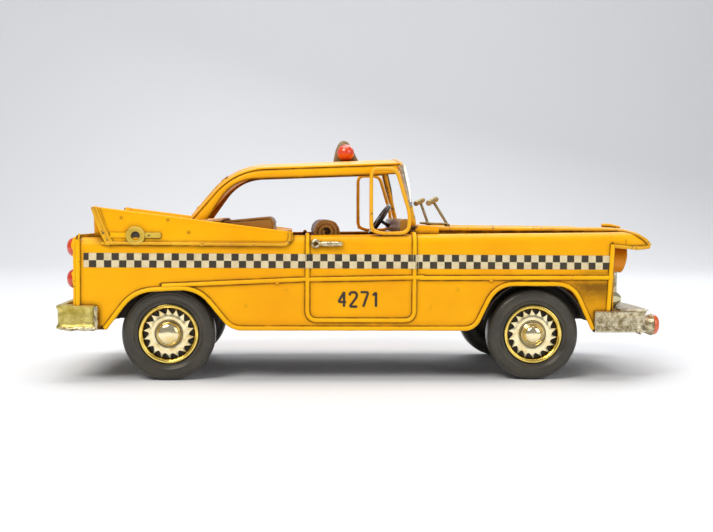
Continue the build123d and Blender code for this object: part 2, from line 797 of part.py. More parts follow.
roof_y = deck_y - rail_width - 0.05
with BuildPart() as roof_panel:
    with BuildLine(Plane.XZ):
        spine = FilletPolyline(*roof_route, radius=roof_bend)
    with BuildSketch(Plane(origin=spine @ 0, x_dir=(0, 1, 0), z_dir=spine % 0)):
        with BuildLine():
            ThreePointArc((-roof_y, 0), (0, -roof_crown), (roof_y, 0))
            Line((roof_y, 0), (roof_y, sheet))
            ThreePointArc((roof_y, sheet), (0, sheet - roof_crown), (-roof_y, sheet))
            Line((-roof_y, sheet), (-roof_y, 0))
        make_face()
    sweep(path=spine)
    # The rear window.
    with BuildSketch(Plane.YZ.offset(-60)):
        with Locations((0, 98.0)):
            RectangleRounded(72.0, 15.5, 4.0)
    extrude(amount=-60, mode=Mode.SUBTRACT)
finish(roof_panel.part, "roof_panel")

with BuildPart() as rear_window_frame:
    with BuildSketch(Plane.YZ.offset(-60)):
        with Locations((0, 98.0)):
            RectangleRounded(71.8, 15.3, 3.9)
            RectangleRounded(68.6, 12.1, 2.6, mode=Mode.SUBTRACT)
    extrude(amount=-60)
    with BuildLine(Plane.XZ):
        frame_spine = FilletPolyline(*roof_route, radius=50)
    with BuildSketch(Plane(origin=frame_spine @ 0, x_dir=(0, 1, 0), z_dir=frame_spine % 0)):
        with BuildLine():
            ThreePointArc((-roof_y, -0.7), (0, -roof_crown - 0.7), (roof_y, -0.7))
            Line((roof_y, -0.7), (roof_y, sheet + 0.5))
            ThreePointArc((roof_y, sheet + 0.5), (0, sheet + 0.5 - roof_crown), (-roof_y, sheet + 0.5))
            Line((-roof_y, sheet + 0.5), (-roof_y, -0.7))
        make_face()
    sweep(path=frame_spine, mode=Mode.INTERSECT)
finish(rear_window_frame.part, "rear_window_frame")

beacon_x = -10.2
beacon_z = 125.4
beacon_base_z = 120.1
ball_radius = 5.0
with BuildPart() as roof_beacon:
    with BuildSketch(side_plane(3.0)):
        with BuildLine():
            Polyline((-17.0, beacon_base_z), (-15.8, 127.8))
            Spline((-15.8, 127.8), (-13.6, 131.8), (-10.9, 133.6), (-7.6, 131.6), (-5.0, 127.8))
            Polyline((-5.0, 127.8), (-2.2, beacon_base_z), (-17.0, beacon_base_z))
        make_face()
    extrude(amount=6.0)
    with BuildSketch(Plane.XY.offset(beacon_base_z)):
        with Locations((-9.4, 0)):
            SlotOverall(18.0, 5.9)
    extrude(amount=1.0)
    with BuildSketch(side_plane(4.0)):
        with Locations((beacon_x, beacon_z)):
            Circle(ball_radius - 0.9)
    extrude(amount=8.0, mode=Mode.SUBTRACT)
finish(roof_beacon.part, "roof_beacon")

with BuildPart() as roof_beacon_lenses:
    beacon_lens = lens(ball_radius, 1.2, ball_radius + 0.4).rotate(Axis.Z, -90)
    add(beacon_lens.moved(Location((beacon_x, -3.02, beacon_z))))
    mirror(about=Plane.XZ)
finish(roof_beacon_lenses.part, "roof_beacon_lenses")

# ---------------------------------------------------------------- floor and seats
well_inner_y = 41.5
well_outer_y = side_y - sheet - 0.1
with BuildPart() as floor_pan:
    with BuildSketch(Plane.XY.offset(floor_z)):
        with Locations(((tail_x + nose_x) / 2, 0)):
            Rectangle(nose_x - tail_x - 0.2, 2 * well_outer_y)
        for well_x, before, after in ((rear_axle_x, 31.5, 33.0), (front_axle_x, 32.0, 30.5)):
            well_middle = well_x + (after - before) / 2
            for well_side in (-1, 1):
                with Locations((well_middle, well_side * (well_inner_y + well_outer_y) / 2)):
                    Rectangle(before + after, well_outer_y - well_inner_y + 1, mode=Mode.SUBTRACT)
        with Locations((-100.5, 0)):
            Rectangle(38.0, 2 * motor_y + 0.2, mode=Mode.SUBTRACT)
        with Locations(*[(x, y) for x in (-108.0, -90.0) for y in (-21.0, 21.0)]):
            Circle(1.0, mode=Mode.SUBTRACT)
        with Locations(*[(front_axle_x, y) for y in (-22.0, 22.0)]):
            Circle(1.0, mode=Mode.SUBTRACT)
    extrude(amount=sheet)
finish(floor_pan.part, "floor_pan")

seat_foot_z = floor_z + sheet + 0.05


seat_cushion_z = 56.2
rear_seat_route = [
    (-78.4, seat_foot_z),
    (-78.4, 85.0),
    (-52.4, 87.6),
    (-49.0, seat_cushion_z),
    (-36.0, seat_cushion_z),
    (-35.0, seat_foot_z),
]
rear_seat = bent_strip(rear_seat_route, [0.9, 2.5, 3, 4], 88.0)
finish(rear_seat, "rear_seat")

# The top of the front backrest is rolled over, like a cushion's head.
front_seat_route = [
    (-28.3, seat_foot_z),
    (-28.3, 85.8),
    (-16.1, 85.8),
    (-15.6, seat_cushion_z),
    (4.0, seat_cushion_z),
    (5.0, seat_foot_z),
]
front_seat = bent_strip(front_seat_route, [6.05, 6.05, 3, 4], 84.0)
finish(front_seat, "front_seat")

# ---------------------------------------------------------------- front axle bracket
bracket_leg_y = 30.0
with BuildPart() as front_axle_bracket:
    with BuildSketch(Plane.YZ.offset(front_axle_x - 6.0)):
        with BuildLine():
            Polyline(
                (-bracket_leg_y, 19.5),
                (-bracket_leg_y, floor_z - 0.02),
                (bracket_leg_y, floor_z - 0.02),
                (bracket_leg_y, 19.5),
                (bracket_leg_y - 1, 19.5),
                (bracket_leg_y - 1, floor_z - 1.02),
                (1 - bracket_leg_y, floor_z - 1.02),
                (1 - bracket_leg_y, 19.5),
                close=True,
            )
        make_face()
    extrude(amount=12.0)
    with BuildSketch(side_plane(bracket_leg_y + 1)):
        with Locations((front_axle_x, axle_z)):
            Circle(axle_radius + axle_play)
    extrude(amount=2 * bracket_leg_y + 2, mode=Mode.SUBTRACT)
    with BuildSketch(Plane.XY.offset(floor_z)):
        with Locations(*[(front_axle_x, y) for y in (-22.0, 22.0)]):
            Circle(1.0)
    extrude(amount=-3, mode=Mode.SUBTRACT)
finish(front_axle_bracket.part, "front_axle_bracket")

# ---------------------------------------------------------------- friction motor frame
motor_rear_x = -116.0
motor_front_x = -82.0
motor_bottom_z = 19.0
motor_top_z = 70.0
inner_motor_y = motor_y - motor_sheet
foot_low_z = floor_z + sheet + 0.03
with BuildPart() as motor_frame:
    with BuildSketch(Plane.YZ.offset(motor_rear_x)):
        with Locations((0, (motor_bottom_z + motor_top_z) / 2)):
            Rectangle(2 * motor_y, motor_top_z - motor_bottom_z)
        with Locations((0, (motor_bottom_z + motor_top_z) / 2 - motor_sheet)):
            Rectangle(2 * inner_motor_y, motor_top_z - motor_bottom_z, mode=Mode.SUBTRACT)
        for foot_side in (-1, 1):
            with Locations((foot_side * (motor_y + 4.0), foot_low_z + motor_sheet / 2)):
                Rectangle(8.4, motor_sheet)
        with Locations((0, foot_low_z + motor_sheet / 2)):
            Rectangle(2 * inner_motor_y, 3 * motor_sheet, mode=Mode.SUBTRACT)
    extrude(amount=motor_front_x - motor_rear_x)
    # The plates narrow below the floor pan.
    with BuildSketch(side_plane(motor_y + 1)):
        with BuildLine():
            Polyline((-96.0, 18.0), (motor_front_x + 1, 32.0), (motor_front_x + 1, 18.0), close=True)
        make_face()
    extrude(amount=2 * motor_y + 2, mode=Mode.SUBTRACT)
    with BuildSketch(side_plane(motor_y + 1)):
        with Locations((rear_axle_x, axle_z)):
            Circle(axle_radius + axle_play)
        with Locations((idler_x, idler_z), (flywheel_x, flywheel_z)):
            Circle(shaft_radius + axle_play)
    extrude(amount=2 * motor_y + 2, mode=Mode.SUBTRACT)
    with BuildSketch(Plane.XY.offset(foot_low_z + 2)):
        with Locations(*[(x, y) for x in (-108.0, -90.0) for y in (-21.0, 21.0)]):
            Circle(1.0)
    extrude(amount=-4, mode=Mode.SUBTRACT)
finish(motor_frame.part, "motor_frame")


def rivet(x, y, z_low, z_high):
    """A round-headed rivet through two sheets, closed at both ends."""
    with BuildPart() as fastener:
        with BuildSketch(Plane.XY.offset(z_low)):
            with Locations((x, y)):
                Circle(0.98)
        extrude(amount=z_high - z_low)
        for head_z, up in ((z_high, 1), (z_low, -1)):
            with BuildSketch(Plane.XY.offset(head_z)):
                with Locations((x, y)):
                    Circle(1.9)
            extrude(amount=up * 0.9, taper=25)
    return fastener.part


with BuildPart() as rivets:
    for rivet_x in (-108.0, -90.0):
        for rivet_y in (-21.0, 21.0):
            add(rivet(rivet_x, rivet_y, floor_z - 0.02, foot_low_z + motor_sheet + 0.02))
    for rivet_y in (-22.0, 22.0):
        add(rivet(front_axle_x, rivet_y, floor_z - 1.04, floor_z + sheet + 0.02))
finish(rivets.part, "rivets")

# ---------------------------------------------------------------- gear train
drive_low_y, drive_high_y = 8.0, 11.0
second_low_y, second_high_y = 3.0, 6.0
drive_gear = spur_gear(
    gear_teeth, idler_direction, rear_axle_x, axle_z, drive_low_y, drive_high_y, axle_radius + 0.02
)
finish(drive_gear, "drive_gear")

pinion_gap = 180 / pinion_teeth
with BuildPart() as idler_gear:
    add(spur_gear(pinion_teeth, idler_direction + 180 + pinion_gap, idler_x, idler_z,
                  drive_low_y - 0.5, drive_high_y + 0.5, 0.4))
    add(spur_gear(gear_teeth, flywheel_direction, idler_x, idler_z, second_low_y, second_high_y, 0.4))
    add(cross_rod(idler_x, idler_z, -motor_y - 1.5, motor_y + 1.5, shaft_radius))
    add(cross_rod(idler_x, idler_z, second_high_y, drive_low_y - 0.5, 2.4))
finish(idler_gear.part, "idler_gear")

with BuildPart() as flywheel:
    add(spur_gear(pinion_teeth, flywheel_direction + 180 + pinion_gap, flywheel_x, flywheel_z,
                  second_low_y - 0.5, second_high_y + 0.5, 0.4))
    add(cross_rod(flywheel_x, flywheel_z, -12.0, -4.0, flywheel_radius))
    add(cross_rod(flywheel_x, flywheel_z, -motor_y - 1.5, motor_y + 1.5, shaft_radius))
finish(flywheel.part, "flywheel")

# ---------------------------------------------------------------- axles and wheels
axle_end_y = tyre_y - 3.4
spacer_radius = 2.6
for axle_name, axle_x, stop_y in (
    ("rear_axle", rear_axle_x, motor_y),
    ("front_axle", front_axle_x, bracket_leg_y),
):
    with BuildPart() as axle:
        add(cross_rod(axle_x, axle_z, -axle_end_y, axle_end_y, axle_radius))
        add(cross_rod(axle_x, axle_z, stop_y + 0.3, 42.9, spacer_radius))
        add(cross_rod(axle_x, axle_z, -42.9, -stop_y - 0.3, spacer_radius))
    finish(axle.part, axle_name)

rim_window_count = 18
web_y = tyre_y - 3.2
wheel_bore = axle_radius + 0.02
tyre_section = [
    (16.05, tyre_y - 12.2),
    (16.05, tyre_y - 1.9),
    (18.2, tyre_y - 1.9),
    (18.8, tyre_y - 0.8),
]
outer_shoulder = [(21.6, tyre_y), (24.0, tyre_y - 1.5), (tyre_radius, tyre_y - 4.6)]
inner_shoulder = [
    (tyre_radius, tyre_y - 8.6),
    (24.0, tyre_y - 11.7),
    (21.0, tyre_y - tyre_width),
    (16.05, tyre_y - 12.2),
]

# One wheel about the Y axis, with its outer face towards +Y.
with BuildPart() as tyre:
    with BuildSketch(Plane.XY):
        with BuildLine():
            Polyline(*tyre_section)
            Spline(tyre_section[-1], *outer_shoulder, tangents=((0.4, 1), (0, -1)))
            Line(outer_shoulder[-1], inner_shoulder[0])
            Spline(*inner_shoulder, tangents=((0, -1), (-1, 0.2)))
        make_face()
    revolve(axis=Axis.Y)

with BuildPart() as rim:
    with BuildSketch(Plane.XY):
        with BuildLine():
            Polyline(
                (wheel_bore, web_y),
                (13.4, web_y),
                (13.9, web_y + 1.6),
                (15.2, web_y + 1.9),
                (rim_radius, web_y + 1.2),
                (rim_radius, web_y - 7.5),
                (rim_radius - 0.8, web_y - 7.5),
                (rim_radius - 0.8, web_y - 0.8),
                (3.4, web_y - 0.8),
                (3.4, web_y - 9.6),
                (wheel_bore, web_y - 9.6),
                close=True,
            )
        make_face()
    revolve(axis=Axis.Y)
    with BuildSketch(Plane.XZ.offset(-web_y - 1)):
        with PolarLocations(0, rim_window_count):
            with BuildLine():
                Polyline((10.4, -0.6), (13.2, -1.5), (13.2, 1.5), (10.4, 0.6), close=True)
            make_face()
    extrude(amount=3, mode=Mode.SUBTRACT)

with BuildPart() as hub_cap:
    with BuildSketch(Plane.XZ.offset(-web_y - 0.05)):
        Circle(6.4)
    extrude(amount=-0.8)
    add(lens(5.4, 1.6, 4.0).rotate(Axis.Z, 90).moved(Location((0, web_y + 0.05, 0))))

for place, (wheel_x, wheel_side) in wheel_places.items():
    for piece, piece_name in ((tyre, "tyre"), (rim, "rim")):
        with BuildPart() as placed:
            add(piece.part.rotate(Axis.Z, 0 if wheel_side > 0 else 180).moved(Location((wheel_x, 0, axle_z))))
        finish(placed.part, f"{piece_name}_{place}")

for axle_name, axle_x in (("rear", rear_axle_x), ("front", front_axle_x)):
    with BuildPart() as hub_caps:
        add(hub_cap.part.moved(Location((axle_x, 0, axle_z))))
        add(hub_cap.part.rotate(Axis.Z, 180).moved(Location((axle_x, 0, axle_z))))
    finish(hub_caps.part, f"hub_caps_{axle_name}")
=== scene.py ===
import math

import bmesh
import bpy
import numpy as np
from mathutils import Matrix, Vector, noise


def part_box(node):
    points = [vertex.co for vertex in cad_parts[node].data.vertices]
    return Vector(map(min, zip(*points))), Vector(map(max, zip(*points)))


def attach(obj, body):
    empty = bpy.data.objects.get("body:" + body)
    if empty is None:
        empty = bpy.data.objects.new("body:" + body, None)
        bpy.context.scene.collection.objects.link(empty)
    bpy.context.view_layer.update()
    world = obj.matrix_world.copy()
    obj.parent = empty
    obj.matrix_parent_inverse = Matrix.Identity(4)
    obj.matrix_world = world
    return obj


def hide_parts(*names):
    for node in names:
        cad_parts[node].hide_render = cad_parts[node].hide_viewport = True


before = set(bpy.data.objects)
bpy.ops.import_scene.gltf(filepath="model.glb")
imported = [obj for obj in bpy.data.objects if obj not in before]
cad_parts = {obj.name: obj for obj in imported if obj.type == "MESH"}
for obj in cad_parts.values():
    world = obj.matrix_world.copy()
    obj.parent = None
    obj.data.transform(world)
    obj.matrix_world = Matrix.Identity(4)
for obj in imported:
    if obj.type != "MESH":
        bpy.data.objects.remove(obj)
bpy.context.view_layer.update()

# The looks of a handmade tin taxi.  Lengths below are in millimetres of the CAD
# frame (+X nose, +Y left side, +Z up, floor at 0); meshes are made in metres.
MM = 0.001
RIGHT, LEFT = -1, 1

# ---------------------------------------------------------------- places, from the CAD
side_low, side_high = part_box("side_panel_right")
TAIL_X = side_low.x / MM
NOSE_X = side_high.x / MM
SIDE_Y = -side_low.y / MM
SILL_Z = side_low.z / MM
FLANGE_Y = -side_high.y / MM
BELT_TAIL_Z = 76.4
BELT_SLOPE = (side_high.z / MM - BELT_TAIL_Z) / (NOSE_X - TAIL_X)
BELT_RADIUS = 5.0
SHEET = 0.8
REAR_ARCH = [(-139.5, SILL_Z), (-124.5, 48.0), (-91.5, 49.8), (-73.6, SILL_Z)]
FRONT_ARCH = [(57.6, SILL_Z), (69.5, 52.2), (110.5, 52.2), (121.9, SILL_Z)]
DOOR_REAR_X, DOOR_FRONT_X, DOOR_BOTTOM_Z = -33.0, 24.5, 32.9
DECK_Y = 52.0
HOOD_Y = 46.0
HOOD_Z = 82.4
ROOF_ROUTE = [(16.2, 116.6), (-71.96, 112.6), (-94.5, 86.35)]
RAIL_INNER = [(16.2, 111.8), (-72.9, 107.8), (-86.9, 86.35)]
LEFT_RAIL_INNER = [(16.2, 114.4), (-73.6, 110.4), (-90.6, 86.35)]
ROOF_CROWN = 4.2
ROOF_BEND, RAIL_BEND, BEND_STEPS = 26.0, 22.0, 24
REAR_AXLE_X, FRONT_AXLE_X, AXLE_Z = -107.1, 90.5, 25.0
WHEEL_Y = 52.8                  # the wheel disc's outer face
GUARD_Y, GUARD_Z = 40.0, 28.95
LAMP_Y, HEADLAMP_Z, PARKING_Z = 45.0, 65.4, 44.0
TAIL_LAMP_Y, TAIL_LAMPS_Z = 46.0, (71.0, 54.0)
STEERING_CENTRE = Vector((12.35, 25.0, 86.5))
STEERING_AXIS = Vector((18.2, 0, -12.3)).normalized()
WHEELS = {
    "rear_right": ("rear_wheels", RIGHT),
    "rear_left": ("rear_wheels", LEFT),
    "front_right": ("front_wheels", RIGHT),
    "front_left": ("front_wheels", LEFT),
}


def belt_z(x):
    """The height of the belt line, which climbs towards the front."""
    return BELT_TAIL_Z + BELT_SLOPE * (x - TAIL_X)


def clamp(value):
    """A number held between 0 and 1."""
    return min(1.0, max(0.0, value))


def shade(values):
    """An array held between 0 and 1."""
    return np.clip(values, 0, 1)


def side_view(route):
    """Places in the side view (x, z) as places in space, on the car's middle."""
    return [(x, 0, z) for x, z in route]


# ---------------------------------------------------------------- small geometry
def rounded(points, corner, steps=7):
    """A polyline with its inner corners rounded; corner is one reach or a list of them."""
    points = [Vector(p) for p in points]
    corners = corner if isinstance(corner, (list, tuple)) else [corner] * (len(points) - 2)
    out = [points[0]]
    for before, here, after, size in zip(points, points[1:], points[2:], corners):
        back = (before - here).normalized()
        ahead = (after - here).normalized()
        reach = min(size, 0.48 * (before - here).length, 0.48 * (after - here).length)
        start, end = here + back * reach, here + ahead * reach
        for step in range(steps + 1):
            t = step / steps
            out.append(start * (1 - t) ** 2 + here * 2 * t * (1 - t) + end * t**2)
    out.append(points[-1])
    return out


def resample(points, spacing):
    """Points about evenly spaced along a polyline, ends kept."""
    points = [Vector(p) for p in points]
    lengths = [0.0]
    for a, b in zip(points, points[1:]):
        lengths.append(lengths[-1] + (b - a).length)
    count = max(2, int(lengths[-1] / spacing) + 1)
    out = []
    index = 0
    for step in range(count):
        target = lengths[-1] * step / (count - 1)
        while index < len(points) - 2 and lengths[index + 1] < target:
            index += 1
        span = max(lengths[index + 1] - lengths[index], 1e-9)
        out.append(points[index].lerp(points[index + 1], (target - lengths[index]) / span))
    return out


def wobble(x, y, z, size, seed=0.0):
    """Smooth noise from -1 to 1 with bumps of about the given size."""
    return noise.noise(Vector((x / size + seed, y / size - 3.1 * seed, z / size + 7.7)))


def make(name, shape, material, body="root", replaces=(), slot=None, solid=0.0, bevel=0.0,
         sharp=42.0, grime=None, closed_up=True):
    """A mesh piece, drawn in millimetres, riding on a body.  solid is the thickness given to a
    sheet, and the optional function of (x, y, z) tells how much painted shade and grime darken the
    paint at each place.  closed_up is False for an open sheet, whose faces already point outwards."""
    verts, faces = shape
    mesh = bpy.data.meshes.new(name)
    mesh.from_pydata([tuple(c * MM for c in v) for v in verts], [], faces)
    work = bmesh.new()
    work.from_mesh(mesh)
    bmesh.ops.remove_doubles(work, verts=work.verts, dist=1e-6)
    if closed_up:
        bmesh.ops.recalc_face_normals(work, faces=work.faces)
    work.to_mesh(mesh)
    work.free()
    # Stored per vertex: how much painted shade and grime darken the paint.
    if grime:
        places = np.empty(3 * len(mesh.vertices))
        mesh.vertices.foreach_get("co", places)
        x, y, z = places.reshape(-1, 3).T / MM
        stored = mesh.attributes.new("grime", "FLOAT", "POINT")
        stored.data.foreach_set("value", shade(grime(x, y, z)).astype(np.float32))
    mesh.materials.append(material)
    piece = bpy.data.objects.new(name, mesh)
    bpy.context.scene.collection.objects.link(piece)
    if solid:
        thicken = piece.modifiers.new("thicken", "SOLIDIFY")
        thicken.thickness = solid * MM
        thicken.offset = -1.0
    if bevel:
        soften = piece.modifiers.new("soften", "BEVEL")
        soften.width = bevel * MM
        soften.segments = 2
        soften.limit_method = "ANGLE"
        soften.angle_limit = math.radians(35)
    if piece.modifiers:
        finished = piece.evaluated_get(bpy.context.evaluated_depsgraph_get())
        piece.data = bpy.data.meshes.new_from_object(finished)
        piece.modifiers.clear()
        bpy.data.meshes.remove(mesh)
        piece.data.name = name
    for polygon in piece.data.polygons:
        polygon.use_smooth = True
    piece.data.set_sharp_from_angle(angle=math.radians(sharp))
    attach(piece, body)
    if replaces:
        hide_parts(*replaces)
    return piece


def grid(rows, wrap=False):
    """Vertices and quads of a grid given as rows of points; wrap joins last row to first."""
    verts = [tuple(p) for row in rows for p in row]
    width = len(rows[0])
    faces = []
    for r in range(len(rows) if wrap else len(rows) - 1):
        following = (r + 1) % len(rows)
        for c in range(width - 1):
            faces.append((r * width + c, r * width + c + 1,
                          following * width + c + 1, following * width + c))
    return verts, faces


def join(*meshes):
    """Several (verts, faces) as one."""
    verts, faces = [], []
    for more_verts, more_faces in meshes:
        base = len(verts)
        verts += more_verts
        faces += [tuple(i + base for i in face) for face in more_faces]
    return verts, faces


def mirrored(shape):
    """The same mesh on the car's other side."""
    verts, faces = shape
    return [(x, -y, z) for x, y, z in verts], [tuple(reversed(face)) for face in faces]


def facing_out(shape):
    """Reverse a mesh's faces."""
    verts, faces = shape
    return verts, [tuple(reversed(face)) for face in faces]


def wire(points, radius, sides=10, closed=False, flat=1.0, up=None, rough=0.06, seed=1.0):
    """A tube along points.  radius is a number or a function of the share of the length.
    flat squashes it across `up`, and rough makes it as uneven as bent wire."""
    points = [Vector(p) for p in points]
    count = len(points)
    rings = []
    side_axis = None
    for i, here in enumerate(points):
        before = points[i - 1] if i or closed else here
        after = points[(i + 1) % count] if i < count - 1 or closed else here
        along = (after - before).normalized()
        if up is not None:
            side_axis = Vector(up).cross(along).normalized()
        elif side_axis is None:
            probe = Vector((0, 0, 1)) if abs(along.z) < 0.9 else Vector((0, 1, 0))
            side_axis = probe.cross(along).normalized()
        else:
            side_axis = (side_axis - along * side_axis.dot(along)).normalized()
        other = along.cross(side_axis).normalized()
        share = i / max(count - 1, 1)
        size = radius(share) if callable(radius) else radius
        size *= 1 + rough * wobble(here.x, here.y, here.z, 4.0, seed)
        ring = []
        for k in range(sides):
            angle = 2 * math.pi * k / sides
            ring.append(here + side_axis * (size * math.cos(angle))
                        + other * (size * flat * math.sin(angle)))
        rings.append(ring)
    verts = [tuple(p) for ring in rings for p in ring]
    faces = []
    for i in range(count if closed else count - 1):
        j = (i + 1) % count
        for k in range(sides):
            m = (k + 1) % sides
            faces.append((i * sides + k, j * sides + k, j * sides + m, i * sides + m))
    if not closed:
        faces.append(tuple(range(sides)))
        faces.append(tuple(reversed(range((count - 1) * sides, count * sides))))
    return verts, [tuple(reversed(face)) for face in faces]


def lathe(profile, centre, axis="Y", segments=64, sweep_side=1, seed=None, uneven=0.0):
    """A surface of revolution about a line along X or Y; profile holds (radius, place along
    the line), and sweep_side -1 runs the profile the other way."""
    rows = []
    for k in range(segments):
        angle = 2 * math.pi * k / segments
        row = []
        for radius, along in profile:
            size = radius
            if seed is not None:
                size *= 1 + uneven * wobble(math.cos(angle) * 9, along, math.sin(angle) * 9, 5.0, seed)
            a, b = size * math.cos(angle), size * math.sin(angle)
            if axis == "Y":
                row.append((centre[0] + a, centre[1] + sweep_side * along, centre[2] + b))
            else:
                row.append((centre[0] + sweep_side * along, centre[1] + a, centre[2] + b))
        rows.append(row)
    shape = grid(rows, wrap=True)
    flip = (axis == "Y") == (sweep_side > 0)
    return facing_out(shape) if flip else shape


def plate(outline, to_space, depth):
    """A flat plate: an outline given by places in its plane, and its thickness vector."""
    front = [Vector(to_space(a, b)) for a, b in outline]
    back = [p + Vector(depth) for p in front]
    count = len(front)
    faces = [tuple(range(count)), tuple(reversed(range(count, 2 * count)))]
    for i in range(count):
        j = (i + 1) % count
        faces.append((j, i, i + count, j + count))
    return [tuple(p) for p in front + back], faces


# ---------------------------------------------------------------- materials
def new_material(name):
    """A new node material, with its tree, its shader and the object's own coordinates."""
    material = bpy.data.materials.new(name)
    material.use_nodes = True
    tree = material.node_tree
    shader = tree.nodes["Principled BSDF"]
    place = tree.nodes.new("ShaderNodeTexCoord").outputs["Object"]
    return material, tree, shader, place


def noise_node(tree, place, scale, detail=4.0, roughness=0.6, stretch=(1, 1, 1)):
    """Cloudy noise; scale is in bumps to a metre."""
    if stretch != (1, 1, 1):
        mapping = tree.nodes.new("ShaderNodeMapping")
        mapping.inputs["Scale"].default_value = stretch
        tree.links.new(place, mapping.inputs["Vector"])
        place = mapping.outputs["Vector"]
    node = tree.nodes.new("ShaderNodeTexNoise")
    node.inputs["Scale"].default_value = scale
    node.inputs["Detail"].default_value = detail
    node.inputs["Roughness"].default_value = roughness
    tree.links.new(place, node.inputs["Vector"])
    return node.outputs["Fac"]


def ramp(tree, value, low, high, low_value=0.0, high_value=1.0):
    """A value's stretch from low to high spread over low_value to high_value."""
    node = tree.nodes.new("ShaderNodeMapRange")
    node.inputs["From Min"].default_value = low
    node.inputs["From Max"].default_value = high
    node.inputs["To Min"].default_value = low_value
    node.inputs["To Max"].default_value = high_value
    tree.links.new(value, node.inputs["Value"])
    return node.outputs["Result"]


def arithmetic(tree, operation, a, b):
    node = tree.nodes.new("ShaderNodeMath")
    node.operation = operation
    for socket, value in zip(node.inputs, (a, b)):
        if isinstance(value, (int, float)):
            socket.default_value = value
        else:
            tree.links.new(value, socket)
    return node.outputs[0]


def mix(tree, factor, a, b):
    node = tree.nodes.new("ShaderNodeMix")
    node.data_type = "RGBA"
    tree.links.new(factor, node.inputs[0])
    for socket, value in ((node.inputs[6], a), (node.inputs[7], b)):
        if isinstance(value, tuple):
            socket.default_value = (*value, 1.0)
        else:
            tree.links.new(value, socket)
    return node.outputs[2]


def bump(tree, shader, height, strength, distance):
    node = tree.nodes.new("ShaderNodeBump")
    node.inputs["Strength"].default_value = strength
    node.inputs["Distance"].default_value = distance * MM
    tree.links.new(height, node.inputs["Height"])
    tree.links.new(node.outputs["Normal"], shader.inputs["Normal"])


def crevice(tree, reach):
    """The mask for painted shade: 1 deep in a corner, 0 in the open."""
    node = tree.nodes.new("ShaderNodeAmbientOcclusion")
    node.samples = 8
    node.inputs["Distance"].default_value = reach * MM
    return ramp(tree, node.outputs["AO"], 0.96, 0.5)


def painted(name, base, darker, grime, rough=0.36, coat=0.25, grime_reach=3.2, grime_amount=1.0,
            stain=0.5, chips=0.0, chip_colour=(0.16, 0.10, 0.05), grain=1.0):
    """Hand-sprayed paint on sheet or wire: cloudy colour, painted shade in the corners and beside the wires,
    stains.
    """
    material, tree, shader, place = new_material(name)
    cloud = ramp(tree, noise_node(tree, place, 26.0, 3.0), 0.35, 0.72)
    colour = mix(tree, cloud, base, darker)
    spots = ramp(tree, noise_node(tree, place, 95.0, 6.0, 0.72), 0.60, 0.74, 0.0, stain)
    blots = ramp(tree, noise_node(tree, place, 17.0, 2.0, 0.5), 0.50, 0.66)
    colour = mix(tree, arithmetic(tree, "MULTIPLY", spots, blots), colour, grime)
    streaks = noise_node(tree, place, 140.0, 5.0, 0.7)
    # Painted shade: an occlusion mask darkens the paint towards the dark brown in corners and beside wires.
    corner = crevice(tree, grime_reach)
    shade_and_dirt = arithmetic(tree, "MULTIPLY", corner, ramp(tree, streaks, 0.30, 0.62, 0.45, 1.0))
    shade_and_dirt = arithmetic(tree, "MULTIPLY", shade_and_dirt, grime_amount)
    # Each piece's stored map adds painted shade along its wires and edges, and grime, stains and rust, to the
    # corner shade.
    stored = tree.nodes.new("ShaderNodeAttribute")
    stored.attribute_name = "grime"
    uneven = ramp(tree, streaks, 0.28, 0.55, 0.55, 1.0)
    painted_on = arithmetic(tree, "MULTIPLY", stored.outputs["Fac"], uneven)
    shade_and_dirt = arithmetic(tree, "MAXIMUM", shade_and_dirt, painted_on)
    colour = mix(tree, shade_and_dirt, colour, grime)
    if chips:
        chip = ramp(tree, noise_node(tree, place, 330.0, 5.0, 0.65), 0.70 - 0.1 * chips, 0.74 - 0.1 * chips)
        colour = mix(tree, chip, colour, chip_colour)
    tree.links.new(colour, shader.inputs["Base Color"])
    gloss = ramp(tree, noise_node(tree, place, 60.0, 4.0), 0.3, 0.7, rough - 0.07, rough + 0.12)
    tree.links.new(arithmetic(tree, "ADD", gloss, arithmetic(tree, "MULTIPLY", shade_and_dirt, 0.25)),
                   shader.inputs["Roughness"])
    shader.inputs["Coat Weight"].default_value = coat
    shader.inputs["Coat Roughness"].default_value = 0.22
    shader.inputs["Specular IOR Level"].default_value = 0.36
    shader.inputs["Specular Tint"].default_value = (1.0, 0.74, 0.34, 1.0)
    fine = noise_node(tree, place, 900.0, 2.0)
    coarse = noise_node(tree, place, 120.0, 3.0)
    bump(tree, shader, arithmetic(tree, "ADD", arithmetic(tree, "MULTIPLY", fine, 0.35), coarse),
         0.22 * grain, 0.35)
    return material


def metal(name, base, tarnish, rough_low, rough_high, patch_scale=70.0, patch=(0.52, 0.70),
          bump_strength=0.2, bump_scale=260.0, bump_depth=0.3, corner_grime=0.8):
    """Bare or plated metal with cloudy tarnish and painted shade in its corners."""
    material, tree, shader, place = new_material(name)
    clouds = noise_node(tree, place, patch_scale, 6.0, 0.68)
    patches = ramp(tree, clouds, patch[0], patch[1])
    colour = mix(tree, patches, base, tarnish)
    # Painted shade: an occlusion mask darkens the corners.
    corner = arithmetic(tree, "MULTIPLY", crevice(tree, 2.2), corner_grime)
    colour = mix(tree, corner, colour, tuple(0.3 * c for c in tarnish))
    tree.links.new(colour, shader.inputs["Base Color"])
    shader.inputs["Metallic"].default_value = 1.0
    rough = ramp(tree, clouds, 0.35, 0.75, rough_low, rough_high)
    tree.links.new(arithmetic(tree, "ADD", rough, arithmetic(tree, "MULTIPLY", corner, 0.3)),
                   shader.inputs["Roughness"])
    bump(tree, shader, noise_node(tree, place, bump_scale, 5.0, 0.65), bump_strength, bump_depth)
    return material


